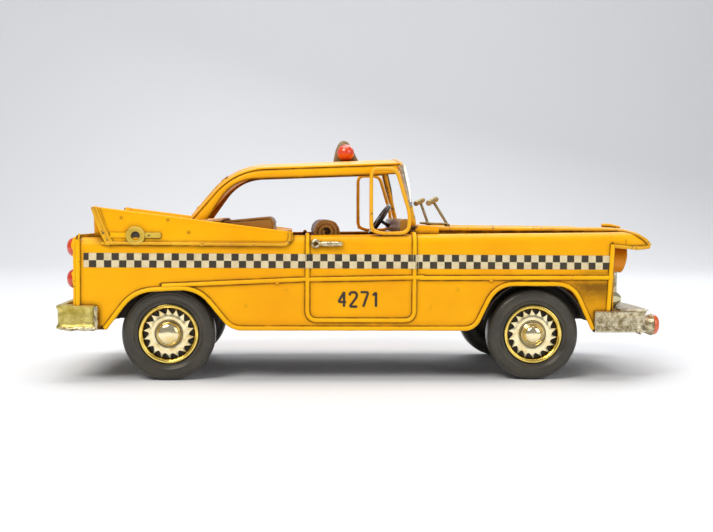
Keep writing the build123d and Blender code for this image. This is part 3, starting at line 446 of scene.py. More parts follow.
def plain(name, base, other, rough, scale=120.0, coat=0.0, bump_strength=0.1,
          bump_scale=400.0, bump_depth=0.2, corner=0.5):
    """Rubber, plastic or tape: two close colours in soft clouds, and a little painted shade in corners."""
    material, tree, shader, place = new_material(name)
    colour = mix(tree, ramp(tree, noise_node(tree, place, scale, 5.0), 0.38, 0.68), base, other)
    # Painted shade: an occlusion mask darkens the corners.
    shade_and_dirt = arithmetic(tree, "MULTIPLY", crevice(tree, 1.6), corner)
    colour = mix(tree, shade_and_dirt, colour, tuple(0.25 * c for c in base))
    tree.links.new(colour, shader.inputs["Base Color"])
    shader.inputs["Coat Weight"].default_value = coat
    gloss = noise_node(tree, place, scale * 0.7, 4.0)
    tree.links.new(ramp(tree, gloss, 0.3, 0.7, rough - 0.06, rough + 0.08), shader.inputs["Roughness"])
    bump(tree, shader, noise_node(tree, place, bump_scale, 4.0), bump_strength, bump_depth)
    return material


def lens_material(name, base, deep):
    """A moulded plastic lens: glossy, lit a little from inside, with faint flow marks."""
    material, tree, shader, place = new_material(name)
    flow = ramp(tree, noise_node(tree, place, 90.0, 3.0, 0.5, (1, 1, 0.4)), 0.35, 0.7)
    tree.links.new(mix(tree, flow, base, deep), shader.inputs["Base Color"])
    shader.inputs["Roughness"].default_value = 0.16
    shader.inputs["Coat Weight"].default_value = 0.9
    shader.inputs["Coat Roughness"].default_value = 0.06
    shader.inputs["Subsurface Weight"].default_value = 0.25
    shader.inputs["Subsurface Radius"].default_value = (0.004, 0.001, 0.0005)
    shader.inputs["Subsurface Scale"].default_value = 0.5
    bump(tree, shader, noise_node(tree, place, 300.0, 2.0), 0.08, 0.2)
    return material


# A dark brown that paints both stains and painted shade in corners and beside wires.
SHADE_AND_STAIN_BROWN = (0.060, 0.018, 0.003)
CAB = painted("cab_paint", (0.97, 0.455, 0.001), (0.90, 0.370, 0.001), SHADE_AND_STAIN_BROWN, stain=0.55, coat=0.06)
BEAD = painted("bead_paint", (0.98, 0.52, 0.003), (0.92, 0.41, 0.002), SHADE_AND_STAIN_BROWN, coat=0.10, rough=0.33,
               grime_reach=1.5, grime_amount=0.6, chips=0.35, grain=1.6)
WORN = painted("worn_wire_paint", (0.90, 0.47, 0.012), (0.64, 0.29, 0.010), (0.07, 0.025, 0.005), rough=0.38,
               grime_reach=2.5, stain=0.8, chips=1.0, grain=2.0)
TRIM = painted("badge_paint", (0.72, 0.50, 0.07), (0.50, 0.33, 0.03), (0.06, 0.025, 0.004), rough=0.34,
               grime_reach=1.6, stain=0.9, chips=0.8, grain=1.8)
# Bright wheel chrome and rim rings with real tarnish; their warm yellow and gold tint is painted reflection
# of yellow surroundings.
REFLECTION_TINTED_CHROME = metal("wheel_chrome_painted_reflection", (0.98, 0.86, 0.54), (0.80, 0.57, 0.18), 0.10, 0.30, 150.0, (0.46, 0.70),
               0.10, 420.0, 0.15, 0.9)
REFLECTION_TINTED_RIM_CHROME = metal("rim_chrome_painted_reflection", (0.93, 0.68, 0.16), (0.66, 0.42, 0.08), 0.10, 0.26, 140.0, (0.5, 0.75),
             0.10, 420.0, 0.15, 0.9)
SILVER = metal("worn_chrome", (0.72, 0.63, 0.43), (0.27, 0.20, 0.08), 0.18, 0.46, 360.0, (0.43, 0.62),
               0.7, 420.0, 0.5, 0.9)
STEEL = metal("bumper_steel", (0.74, 0.61, 0.19), (0.46, 0.35, 0.06), 0.30, 0.55, 150.0, (0.44, 0.66),
              0.7, 330.0, 0.6, 0.9)
GEAR_BRASS = metal("gear_brass", (0.72, 0.50, 0.20), (0.30, 0.19, 0.07), 0.25, 0.45, 180.0)
IRON = metal("flywheel_iron", (0.32, 0.31, 0.30), (0.14, 0.11, 0.09), 0.35, 0.6, 120.0)
BARE = metal("motor_steel", (0.50, 0.49, 0.47), (0.22, 0.18, 0.13), 0.25, 0.5, 180.0)
RUBBER = plain("tyre_rubber", (0.034, 0.029, 0.020), (0.058, 0.048, 0.030), 0.36, 90.0, coat=0.15,
               bump_strength=0.25, bump_scale=700.0, bump_depth=0.25, corner=0.8)
BLACK = plain("black_enamel", (0.012, 0.012, 0.012), (0.025, 0.022, 0.02), 0.18, 160.0, coat=0.6)
UNDER = plain("underside_black", (0.030, 0.024, 0.018), (0.055, 0.040, 0.025), 0.62, 60.0, bump_strength=0.4)
SEAT = painted("seat_brown", (0.44, 0.21, 0.040), (0.24, 0.095, 0.018), (0.03, 0.012, 0.004), rough=0.42,
               grime_reach=2.0, stain=0.9, chips=0.3, chip_colour=(0.55, 0.32, 0.12), grain=5.0)
BEACON = painted("beacon_brown", (0.34, 0.25, 0.13), (0.17, 0.12, 0.06), (0.05, 0.03, 0.015), rough=0.4,
                 stain=0.8, chips=0.5, grain=2.5)
CREAM = plain("tape_cream", (0.78, 0.66, 0.40), (0.66, 0.53, 0.29), 0.46, 240.0, corner=0.4)
DARK = plain("tape_black", (0.030, 0.022, 0.010), (0.055, 0.038, 0.016), 0.40, 240.0, corner=0.4)
INK = plain("number_black", (0.018, 0.014, 0.010), (0.04, 0.028, 0.014), 0.40, 300.0)
RED = lens_material("red_lens", (0.80, 0.085, 0.014), (0.58, 0.030, 0.006))
AMBER = lens_material("orange_lens", (0.84, 0.17, 0.012), (0.66, 0.08, 0.01))
CLEAR = lens_material("clear_lens", (0.78, 0.74, 0.62), (0.62, 0.57, 0.44))

# CAD nodes that are shown as they are, by the finish they take.
carried = {
    UNDER: ("floor_pan", "motor_frame", "front_axle_bracket", "bumper_brackets"),
    BARE: ("front_axle", "rear_axle", "rivets"),
    GEAR_BRASS: ("drive_gear", "idler_gear"),
    IRON: ("flywheel",),
}
for material, names in carried.items():
    for node_name in names:
        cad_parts[node_name].material_slots[0].material = material

# ---------------------------------------------------------------- body sides
LOWER_EDGE = rounded(side_view([(TAIL_X, SILL_Z), *REAR_ARCH, *FRONT_ARCH, (NOSE_X, SILL_Z)]),
                     [1.0, 10.0, 10.0, 6.0, 6.0, 10.0, 9.0, 1.0])
EDGE_X = [p.x for p in LOWER_EDGE]
EDGE_Z = [p.z for p in LOWER_EDGE]
DOOR_CORNER = 5.5
DOOR_ROUTE = [(DOOR_REAR_X, 80.0), (DOOR_REAR_X, DOOR_BOTTOM_Z), (DOOR_FRONT_X, DOOR_BOTTOM_Z),
              (DOOR_FRONT_X, 80.0)]
# The waist wire is in three lengths, each from (x, z) to (x, z).
WAIST_WIRES = [
    [(-110.0, 51.2), (-74.0, 53.0), (DOOR_REAR_X - 0.6, 54.9)],
    [(DOOR_REAR_X, 54.8), (0.0, 55.5), (DOOR_FRONT_X + 5.3, 56.2)],
    [(DOOR_FRONT_X + 2.5, 55.8), (78.0, 56.1), (NOSE_X - 0.2, 56.4)],
]


def distance_to(route, x, z):
    """How far each place in the side view is from a polyline."""
    nearest = np.full(x.shape, 1e9)
    for (ax, az), (bx, bz) in zip(route, route[1:]):
        run = max((bx - ax) ** 2 + (bz - az) ** 2, 1e-9)
        share = np.clip(((x - ax) * (bx - ax) + (z - az) * (bz - az)) / run, 0, 1)
        nearest = np.minimum(nearest, np.hypot(x - ax - share * (bx - ax), z - az - share * (bz - az)))
    return nearest


def flat_route(route):
    """A route's places as (x, z)."""
    return [(p.x, p.z) for p in route]


DOOR_LINE = flat_route(rounded(side_view(DOOR_ROUTE), DOOR_CORNER))
EDGE_LINE = flat_route(LOWER_EDGE)
CORNER_LINES = ([(TAIL_X + 1.2, 30), (TAIL_X + 1.2, 76)], [(130.6, 36), (132.6, 74)])
WIRE_EDGE, SILL_WIRE_EDGE, GLAZE_WIDTH = 1.1, 1.8, 0.85


def side_grime(x, y, z):
    """Painted shade, with grime, along the wires and the lower edge; a painted shadow under the fin's foot;
    stains on the front wing; darker under the tape at the front, at the rear shoulder and towards the bottom.
    """
    waist = [distance_to(route, x, z) for route in WAIST_WIRES]
    lines = np.minimum.reduce([distance_to(DOOR_LINE, x, z), *waist,
                               *[distance_to(line, x, z) for line in CORNER_LINES]])
    wire_shade_and_grime = shade(1.25 - (lines - WIRE_EDGE) / GLAZE_WIDTH)
    edge = distance_to(EDGE_LINE, x, z)
    edge_shade_and_grime = shade(1.25 - (edge - SILL_WIRE_EDGE) / GLAZE_WIDTH)
    wing = shade((x - 92) / 14) * shade((56.5 - z) / 4)
    wing *= 0.30 + 0.5 * shade((z - 41) / 9)
    under_tape = shade((x - 108) / 12) * shade(1 - np.abs(z - 59) / 2.6) * 0.55
    fin_foot_shadow = shade(1 - np.abs(z - 72.6) / 1.0) * ((x > -136) & (x < -46)) * 0.85
    shoulder = shade(1 - np.abs(x + 141) / 6) * shade((z - 71) / 4) * 0.75
    low = shade((34 - z) / 8) * 0.25
    return np.maximum.reduce([wire_shade_and_grime, edge_shade_and_grime, wing, under_tape, fin_foot_shadow, shoulder, low])


def side_y(x, z):
    """The side's outer face, hammered very slightly out of true; right side."""
    return -SIDE_Y - 0.16 * wobble(x, 0, z, 21.0, 2.0) - 0.06 * wobble(x, 0, z, 6.0, 5.0)


def side_panel():
    """The right side: a face, a rolled shoulder and a belt flange."""
    even = set(np.round(np.arange(TAIL_X, NOSE_X + 0.01, 0.55), 3))
    face_steps = 84
    rows = []
    for x in sorted(even | {NOSE_X} | set(EDGE_X[1:-1])):
        bottom = float(np.interp(x, EDGE_X, EDGE_Z))
        shoulder = belt_z(x) - BELT_RADIUS
        # The front edge leans back towards the bumper.
        slant = -1.6 * max(0.0, (x - 122) / 11)
        column = []
        for step in range(face_steps + 1):
            z = bottom + (shoulder - bottom) * step / face_steps
            column.append((x + slant * (74 - z) / 46, side_y(x, z), z))
        for step in range(1, 10):
            angle = math.radians(10 * step)
            column.append((x, -SIDE_Y + BELT_RADIUS * (1 - math.cos(angle)),
                           shoulder + BELT_RADIUS * math.sin(angle)))
        for step in range(1, 6):
            inward = BELT_RADIUS + (SIDE_Y - BELT_RADIUS - FLANGE_Y) * step / 5
            column.append((x, -SIDE_Y + inward, belt_z(x)))
        rows.append(column)
    return facing_out(grid(rows))


right_side = side_panel()
make("side_skin_right", right_side, CAB, replaces=["side_panel_right"], slot="body_paint", solid=SHEET,
     grime=side_grime, closed_up=False)
make("side_skin_left", mirrored(right_side), CAB, replaces=["side_panel_left"], slot="body_paint",
     solid=SHEET, grime=side_grime, closed_up=False)


def both_sides(name, shape, material, **options):
    """One piece with its twin on the other side of the car."""
    make(name, join(shape, mirrored(shape)), material, **options)


def on_side(points, proud):
    """Points in the side view laid on the right side, standing proud of it."""
    return [Vector((p.x, side_y(p.x, p.z) - proud, p.z)) for p in points]


def side_wire(route, radius=1.25, proud=0.85, corner=5.0, seed=1.0):
    """A flattened wire on the right side's face."""
    points = on_side(resample(rounded(side_view(route), corner), 0.9), 0.25)
    return wire(points, radius, sides=14, flat=proud, up=(0, 1, 0), rough=0.10, seed=seed)


def solder(x, z, size, seed, y=None):
    """A lump of solder on a joint between wires."""
    centre_y = side_y(x, z) - 0.5 if y is None else y
    rows = []
    for i in range(9):
        turn = math.pi * i / 8
        row = []
        for k in range(13):
            angle = 2 * math.pi * k / 12
            a, b = math.cos(angle), math.sin(angle)
            reach = size * (1 + 0.35 * wobble(a * 3, turn * 2, b * 3, 1.6, seed))
            row.append((x + reach * math.sin(turn) * a, centre_y - 0.75 * reach * math.cos(turn),
                        z + reach * math.sin(turn) * b))
        rows.append(row)
    return grid(rows)


def over_shoulder(x, start_z, inner_y):
    """A route on the side that climbs from start_z and bends inwards over the shoulder."""
    top = belt_z(x)
    out = [Vector((x, side_y(x, start_z) - 0.2, start_z))]
    for step in range(10):
        angle = math.radians(10 * step)
        out.append(Vector((x, -SIDE_Y - 0.25 + (BELT_RADIUS + 0.2) * (1 - math.cos(angle)),
                           top - BELT_RADIUS + (BELT_RADIUS + 0.25) * math.sin(angle))))
    out.append(Vector((x, -inner_y, top + 0.25)))
    return out


# The door's outline goes up over the shoulder at both ends.
lower_part = rounded(side_view([(DOOR_REAR_X, 60.0), *DOOR_ROUTE[1:3], (DOOR_FRONT_X, 60.0)]), DOOR_CORNER)
door_points = (list(reversed(over_shoulder(DOOR_REAR_X, 62.0, 47.5))) + on_side(lower_part, 0.25)
               + over_shoulder(DOOR_FRONT_X, 62.0, 47.5))
both_sides("door_outline", wire(resample(door_points, 0.9), 1.12, sides=14, flat=0.95, rough=0.10, seed=3.0),
           BEAD, replaces=["door_beads"], slot="bead_paint")

waist_shapes = [side_wire(route, radius=1.12, proud=0.95, corner=8.0, seed=5.0 + k)
                for k, route in enumerate(WAIST_WIRES)]
both_sides("waist_wires", join(*waist_shapes, solder(-49.0, 52.9, 0.9, 2.0), solder(66.0, 54.6, 1.0, 4.0)),
           BEAD, replaces=["waist_beads"], slot="bead_paint")

# The wire along the arches and the sill runs just inside the lower edge.
edge_points = []
for before, here, after in zip(LOWER_EDGE, LOWER_EDGE[1:], LOWER_EDGE[2:]):
    along = (after - before).normalized()
    if REAR_ARCH[0][0] - 0.5 <= here.x <= FRONT_ARCH[-1][0] + 0.5:
        edge_points.append((here.x - along.z * 0.7, here.z + along.x * 0.7))
edge_wire = side_wire(edge_points, radius=1.18, proud=1.0, corner=0.01, seed=9.0)
tail_corner = join(side_wire([(TAIL_X + 1.2, 40.0), (TAIL_X + 1.2, 75.5)], 1.35, seed=11.0),
                   side_wire([(TAIL_X - 0.4, 40.0), (TAIL_X - 0.4, 74.5)], 0.8, seed=12.0),
                   side_wire([(TAIL_X + 1.7, 75.0), (TAIL_X + 2.1, 78.6)], 0.45, seed=14.0))
nose_corner = side_wire([(130.6, 36.0), (132.6, 74.6)], 1.2, 0.85, seed=13.0)
both_sides("edge_wires", join(edge_wire, tail_corner, nose_corner), BEAD, replaces=["edge_beads"],
           slot="bead_paint")

# ---------------------------------------------------------------- checkered tape and the number
TAPE_LOW_Z, TAPE_MIDDLE_Z, TAPE_HIGH_Z = 60.8, 64.6, 68.4
TAPE_REAR_X, TAPE_FRONT_X, FIRST_CHECK, CHECK = -151.0, 131.0, 2.75, 3.935


def tape_y(x, z, lift):
    """The tape lies on the side and climbs over the door's wires."""
    hump = max(math.exp(-((x - bead) / 1.5) ** 4) for bead in (DOOR_REAR_X, DOOR_FRONT_X))
    return side_y(x, z) - lift - 1.4 * hump


def tape_patch(x0, x1, z0, z1, lift, seed):
    """A rectangle of tape, with slightly uneven edges."""
    count = max(2, int((x1 - x0) / 0.65))
    rows = []
    for i in range(count + 1):
        x = x0 + (x1 - x0) * i / count
        row = []
        for k in range(5):
            z = z0 + (z1 - z0) * k / 4 + 0.07 * wobble(x * 3, 0, z0 + k, 2.0, seed)
            row.append((x + 0.09 * wobble(x0, 0, z * 2, 2.0, seed + 1), tape_y(x, z, lift), z))
        rows.append(row)
    return grid(rows)


squares = []
columns = int((TAPE_FRONT_X - TAPE_REAR_X - FIRST_CHECK) / CHECK) + 1
for column in range(columns + 1):
    end = min(TAPE_REAR_X + FIRST_CHECK + column * CHECK, TAPE_FRONT_X)
    start = max(TAPE_REAR_X, TAPE_REAR_X + FIRST_CHECK + (column - 1) * CHECK)
    low, high = (TAPE_MIDDLE_Z, TAPE_HIGH_Z) if column % 2 == 0 else (TAPE_LOW_Z, TAPE_MIDDLE_Z)
    if end - start > 0.8:
        squares.append(tape_patch(start + 0.06, end - 0.06, low + 0.05, high - 0.05, 0.15, column))
both_sides("tape_dark_squares", join(*squares), DARK, slot="black_paint", closed_up=False)
ground = tape_patch(TAPE_REAR_X, TAPE_FRONT_X, TAPE_LOW_Z, TAPE_HIGH_Z, 0.09, 50.0)
both_sides("tape_light_ground", ground, CREAM, slot="bead_paint", closed_up=False)

# A plain fleet number on the doors, in strokes like a stencil's.
NUMBER_X, NUMBER_Z, DIGIT_WIDTH, DIGIT_HEIGHT, DIGIT_STEP = -16.4, 40.3, 4.1, 7.8, 6.0
DIGITS = {
    "4": [[(0.75, 0), (0.75, 1)], [(0.75, 1), (0, 0.32), (1, 0.32)]],
    "2": [[(0, 0.78), (0.1, 0.98), (0.5, 1), (0.9, 0.95), (0.98, 0.7), (0.6, 0.42), (0, 0), (1, 0)]],
    "7": [[(0, 1), (1, 1), (0.35, 0)]],
    "1": [[(0.15, 0.78), (0.55, 1), (0.55, 0)]],
}


def digit_strokes(number, side):
    """Flat strokes of a number on one side of the car, written to be read from that side."""
    shapes = []
    width = DIGIT_STEP * (len(number) - 1) + DIGIT_WIDTH
    for place, digit in enumerate(number):
        for stroke in DIGITS[digit]:
            route = []
            for a, b in stroke:
                reading_x = place * DIGIT_STEP + a * DIGIT_WIDTH
                x = NUMBER_X + (reading_x if side == RIGHT else width - reading_x)
                route.append((x, 0, NUMBER_Z + b * DIGIT_HEIGHT))
            points = on_side(resample(rounded(route, 0.9), 0.5), 0.12)
            shapes.append(wire(points, 0.62, sides=8, flat=0.16, up=(0, 1, 0), rough=0.10, seed=place + 20.0))
    shape = join(*shapes)
    return shape if side == RIGHT else mirrored(shape)


for side, side_name in ((RIGHT, "right"), (LEFT, "left")):
    make(f"door_number_{side_name}", digit_strokes("4271", side), INK, slot="black_paint")

# ---------------------------------------------------------------- door handles
def door_handle():
    """The right door's handle: a swelling grip on two posts, with a ring at its rear end."""
    bar = resample([(-27.2, 0, 73.9), (-14.6, 0, 73.9)], 0.7)
    bar = [Vector((p.x, -SIDE_Y - 1.9 - 0.35 * math.sin(math.pi * i / (len(bar) - 1)), p.z))
           for i, p in enumerate(bar)]
    grip = wire(bar, lambda share: 1.35 - 0.45 * abs(2 * share - 1) ** 4, sides=14, flat=0.8, up=(0, 1, 0),
                rough=0.04, seed=31.0)
    circle = [Vector((-28.8 + 1.75 * math.cos(a), -SIDE_Y - 1.4, 74.0 + 1.75 * math.sin(a)))
              for a in np.linspace(0, 2 * math.pi, 28, endpoint=False)]
    ring = wire(circle, 0.8, sides=10, closed=True, up=(0, 1, 0), rough=0.05, seed=32.0)
    posts = [wire([Vector((x, -SIDE_Y + 0.3, 73.9)), Vector((x, -SIDE_Y - 1.8, 73.9))], 0.7, sides=10)
             for x in (-25.0, -16.6)]
    return join(grip, ring, *posts)


both_sides("door_pulls", door_handle(), SILVER, replaces=["door_handles"], slot="chrome")

# ---------------------------------------------------------------- tail fins
FIN_FOOT_Z, FIN_FOOT_Y, FIN_LEAN = 72.9, SIDE_Y + 1.05, 0.15


def fin_top_z(x):
    """The height of the fin's ridge, which falls towards the front."""
    return 92.5 - 12.5 * (x + 146.4) / 102.9


def fin_rear_x(t):
    """The bowed rear edge of the fin, from foot (0) to ridge (1)."""
    return -137.6 * (1 - t) ** 2 - 2 * 143.0 * t * (1 - t) - 146.4 * t * t


def fin_front_x(t):
    """The fin's front end, rounded off near its foot."""
    return -45.4 + 4.4 * math.sqrt(max(0.0, 1 - (1 - min(1.0, t / 0.6)) ** 2))


def fin_point(s, t, proud=0.0):
    """A place on the right fin's outer leaf; s runs forward, t upwards."""
    x = fin_rear_x(t) + (fin_front_x(t) - fin_rear_x(t)) * s
    top = fin_top_z(x)
    z = FIN_FOOT_Z + (top - FIN_FOOT_Z) * t
    hollow = 0.5 * math.sin(math.pi * t) * math.sin(math.pi * min(1.0, s * 1.3))
    dents = 0.22 * wobble(x, 0, z, 9.0, 4.0) + 0.10 * wobble(x, 0, z, 3.5, 8.0)
    y = -FIN_FOOT_Y + FIN_LEAN * (z - FIN_FOOT_Z) + hollow * 0.5 + dents * 0.6
    return Vector((x, y - proud, z))


def fin_shell():
    """The right fin: an outer leaf, a folded ridge and an inner leaf down to the deck."""
    rows = []
    for i in range(111):
        row = [tuple(fin_point(i / 110, k / 22)) for k in range(23)]
        x, y, z = row[-1]
        inner_foot = belt_z(x) + 0.9
        for step in range(1, 5):
            angle = math.pi * step / 5
            row.append((x, y + 0.9 * (1 - math.cos(angle)), z + 0.55 * math.sin(angle)))
        for k in range(9):
            share = k / 8
            row.append((x, (y + 1.8) * (1 - share) - (DECK_Y + 0.1) * share,
                        z * (1 - share) + inner_foot * share))
        rows.append(row)
    verts, faces = grid(rows)
    width = len(rows[0])
    # The rear end is closed by a plate set a little way in.
    recess = len(verts)
    for x, y, z in rows[0]:
        verts.append((x + 2.0, y, z))
    for c in range(width - 1):
        faces.append((c, c + 1, recess + c + 1, recess + c))
    faces.append(tuple(range(recess, recess + width)))
    return verts, faces


def fin_grime(x, y, z):
    """Painted shade, with grime, beside the wires; painted shade on the inner faces; a faint darker line
    under the ridge; three rust spots.
    """
    top = fin_top_z(x)
    lip = np.interp(z, [72.8, 81.5, 92.6], [-137.6, -142.4, -146.4])
    # Painted shade beside the rear lip and the foot wire.
    line = shade(1 - np.abs(x - lip - 3.4) / 0.7) * 0.85
    foot = shade(1 - np.abs(z - 75.0) / 0.7) * 0.55
    ridge = shade(1 - np.abs(z - top + 0.9) / 0.5) * 0.15
    # Painted shade: the inner faces are darkened.
    inner = (y > -56.5) & (z < 79) & (z < top - 1)
    spots = [shade(1.2 - np.hypot(x - spot_x, z - spot_z) / 1.1) * 0.8
             for spot_x, spot_z in ((-107.0, 86.0), (-131.5, 87.0), (-96.0, 79.5))]
    return np.maximum.reduce([line, foot, ridge, inner * 0.5, *spots])


right_fin = fin_shell()
make("fin_right", right_fin, CAB, replaces=["tail_fin_right"], slot="body_paint", grime=fin_grime)
make("fin_left", mirrored(right_fin), CAB, replaces=["tail_fin_left"], slot="body_paint", grime=fin_grime)

# Wires at the fin's foot and along its rear lip.
foot_line = [fin_point(s, 0.045, 0.15) for s in np.linspace(0.0, 0.965, 110)]
front_curl = [fin_point(0.985, t, 0.2) for t in (0.06, 0.12, 0.2, 0.3, 0.45, 0.6, 0.8, 1.0)]
foot_wire = wire(resample(foot_line + front_curl, 0.9), 0.85, sides=12, flat=0.8, up=(0, 1, 0), rough=0.16,
                 seed=41.0)
stub_points = resample([(-141.5, -SIDE_Y - 0.3, 73.6), (-137.0, -SIDE_Y - 0.6, 72.9)], 0.8)
rear_stub = wire(stub_points, 0.75, sides=10, flat=0.8, up=(0, 1, 0), rough=0.2, seed=42.0)
# The lip's section, (share of its width, how proud it stands): two beads with a groove between.
LIP_SECTION = ((-0.55, -0.4), (-0.5, 0.5), (0.0, 0.85), (0.35, 0.45), (0.7, 0.85), (1.0, 0.6), (1.08, -0.3))
lip_rows = []
for i in range(46):
    t = i / 45
    edge = fin_point(0.0, t)
    width = 2.9 - 0.7 * t
    row = []
    for across, proud in LIP_SECTION:
        row.append((edge.x + width * across + 0.12 * wobble(edge.x, 0, edge.z, 2.2, 43.0 + across),
                    edge.y - proud - 0.12 * wobble(edge.x, across, edge.z, 1.8, 44.0), edge.z))
    lip_rows.append(row)
fin_joint = solder(-89.0, 73.4, 1.2, 45.0, -SIDE_Y - 1.1)
both_sides("fin_wire_trim", join(foot_wire, rear_stub, grid(lip_rows), fin_joint), WORN,
           replaces=["fin_wires"], slot="bead_paint")

MEDAL_X, MEDAL_Z = -123.8, 77.6
medal_y = -FIN_FOOT_Y + FIN_LEAN * (MEDAL_Z - FIN_FOOT_Z)
medal_profile = [(2.3, -0.4), (2.35, 0.8), (2.7, 1.15), (3.3, 1.0), (3.9, 1.35), (4.5, 1.5), (4.95, 1.2),
                 (5.0, -0.4)]
medal = lathe(medal_profile, (MEDAL_X, medal_y, MEDAL_Z), "Y", 56, -1, seed=51.0, uneven=0.03)


def spear(x0, x1, half_height, proud, seed):
    """A raised bar on the fin behind or ahead of the medallion."""
    rows = []
    for i in range(29):
        x = x0 + (x1 - x0) * i / 28
        size = half_height * (1 + 0.08 * wobble(x, 0, 0, 2.0, seed))
        end = 0.3 if i in (0, 28) else 1.0
        base = medal_y + 0.1
        face, edge = base - proud * end, base - proud * 0.8 * end
        rows.append([(x, y, MEDAL_Z + 0.3 + size * share)
                     for y, share in ((base + 0.6, -1), (edge, -1), (face, -0.4), (face, 0.4), (edge, 1),
                                      (base + 0.6, 1))])
    return grid(rows)


medallion = join(medal, spear(-119.4, -110.4, 1.4, 1.1, 52.0))
both_sides("fin_medallions", medallion, TRIM, replaces=["fin_badges"],
           slot="aged_steel")
both_sides("fin_spears", spear(-137.2, -128.4, 1.35, 0.75, 53.0), BEAD, slot="bead_paint")
# A near-black disc in the medallion's hole: painted shade.
hole_shade_disc = lathe([(0.0, 0.05), (2.4, 0.05)], (MEDAL_X, medal_y, MEDAL_Z), "Y", 32, -1)
both_sides("fin_medallion_hole_shade", hole_shade_disc, UNDER, slot="floor_paint")

# ---------------------------------------------------------------- deck, hood and brows
def bent_skin(route, half_width, crown, corner, seed, skirt, spacing=1.6, bulge=0.0, flat_until=None):
    """A sheet that runs across the car along a side-view route, crowned in the middle.  Its
    crown fades out behind flat_until, bulge bows its front edge forward, and skirt(x) is how
    low its side edges are turned down."""
    spine = resample(rounded(side_view(route), corner), spacing)
    total = spine[-1].x - spine[0].x
    across = 40
    rows = []
    for p in spine:
        row = []
        crown_here = crown if flat_until is None else crown * clamp((p.x - flat_until) / 20)
        for k in range(across + 1):
            y = half_width * (2 * k / across - 1)
            middle = 1 - (y / half_width) ** 2
            shift = bulge * middle * clamp((p.x - spine[0].x) / total)
            dents = 0.14 * wobble(p.x, y, 0, 24.0, seed) + 0.05 * wobble(p.x, y, 0, 7.0, seed + 2)
            row.append((p.x + shift, y, p.z + crown_here * middle + dents))
        foot = min(skirt(p.x), p.z - 0.3)
        rows.append([(p.x, -half_width, foot), *row, (p.x, half_width, foot)])
    return facing_out(grid(rows))


def deck_grime(x, y, z):
    # Painted shade along the side edges, where the deck meets the fins; darker towards the rear edge.
    return np.maximum(shade((np.abs(y) - 49.5) / 2.0) * 0.8, shade((-150 - x) / 4) * 0.35)


deck_route = [(-156.1, 75.6), (-156.1, 77.9), (-147.5, 78.3), (-118.0, 83.4), (-79.6, 86.0)]
deck = bent_skin(deck_route, DECK_Y, 1.2, [0.5, 9.0, 9.0], 61.0, lambda x: belt_z(x) + 0.1, flat_until=-146.0)
make("deck_skin", deck, CAB, replaces=["rear_deck"], slot="body_paint", solid=SHEET, grime=deck_grime,
     closed_up=False)


def hood_grime(x, y, z):
    # Painted shade along the side edges, beside the hood's wires; darker towards the front edge.
    return np.maximum(shade((np.abs(y) - 43.0) / 1.2) * 0.7, shade((x - 152) / 6) * 0.3)


hood_route = [(37.2, HOOD_Z), (144.0, HOOD_Z), (152.6, 79.0), (157.0, 74.5)]
hood = bent_skin(hood_route, HOOD_Y, 0.7, 6.0, 63.0,
                 lambda x: min(79.4, belt_z(x) - 0.6) if x < 137 else 78.5, bulge=7.0)
make("hood_skin", hood, CAB, replaces=["hood_panel"], slot="body_paint", solid=SHEET, grime=hood_grime,
     closed_up=False)

hood_edge = rounded([(37.0, -46.3, 82.2), (90.0, -46.4, 82.1), (134.0, -46.7, 81.9), (141.5, -49.0, 81.6)],
                    8.0)
hood_wire = wire(resample(hood_edge, 0.9), 1.25, sides=14, rough=0.08, seed=64.0)
ornament_points = resample([(143.6, 0, 84.1), (149.0, 0, 84.1), (154.6, 0, 82.9)], 0.6)
ornament = wire(ornament_points, lambda share: 1.35 - 0.35 * share, sides=14, flat=0.9, up=(0, 1, 0),
                rough=0.14, seed=66.0)
make("hood_trim_wires", join(hood_wire, mirrored(hood_wire), ornament), WORN, replaces=["hood_trim"],
     slot="bead_paint")

BROW_TOP = [(NOSE_X - 1.0, 80.85), (141.0, 81.2), (147.0, 79.6), (151.3, 76.8), (153.0, 74.0)]
BROW_FOOT = [(NOSE_X - 1.0, 74.0), (140.6, 73.0), (148.0, 72.5), (153.0, 73.4)]


def brow_shell():
    """The right headlamp's brow: it narrows to a blunt tip and is pulled in a little there."""
    top = resample(rounded(side_view(BROW_TOP), 4.0), 0.6)
    foot_x, foot_z = [p[0] for p in BROW_FOOT], [p[1] for p in BROW_FOOT]
    rows = []
    for p in top:
        foot = float(np.interp(p.x, foot_x, foot_z))
        radius = min(BELT_RADIUS, max(0.3, 0.7 * (p.z - foot)))
        pull = 2.2 * max(0.0, (p.x - 141) / 12) ** 2
        row = []
        for k in range(7):
            row.append((p.x, -HOOD_Y - (SIDE_Y - pull - radius - HOOD_Y) * k / 6, p.z))
        for step in range(1, 10):
            angle = math.radians(10 * step)
            row.append((p.x, -SIDE_Y + pull + radius - radius * math.sin(angle),
                        p.z - radius * (1 - math.cos(angle))))
        for k in range(1, 9):
            z = (p.z - radius) + (foot - p.z + radius) * k / 8
            row.append((p.x, -SIDE_Y + pull - 0.12 * wobble(p.x, 0, z, 5.0, 71.0), z))
        rows.append(row)
    return grid(rows)


def brow_grime(x, y, z):
    # Painted shade in the crease and along the foot; darker towards the tip.
    crease_shade = shade(1 - np.abs(x - 139.9) / 0.5) * (z < 77) * 0.7
    under = shade((75.0 - z) / 1.2) * 0.8
    rim = shade((x - 148) / 5) * 0.45
    return np.maximum.reduce([crease_shade, under, rim])


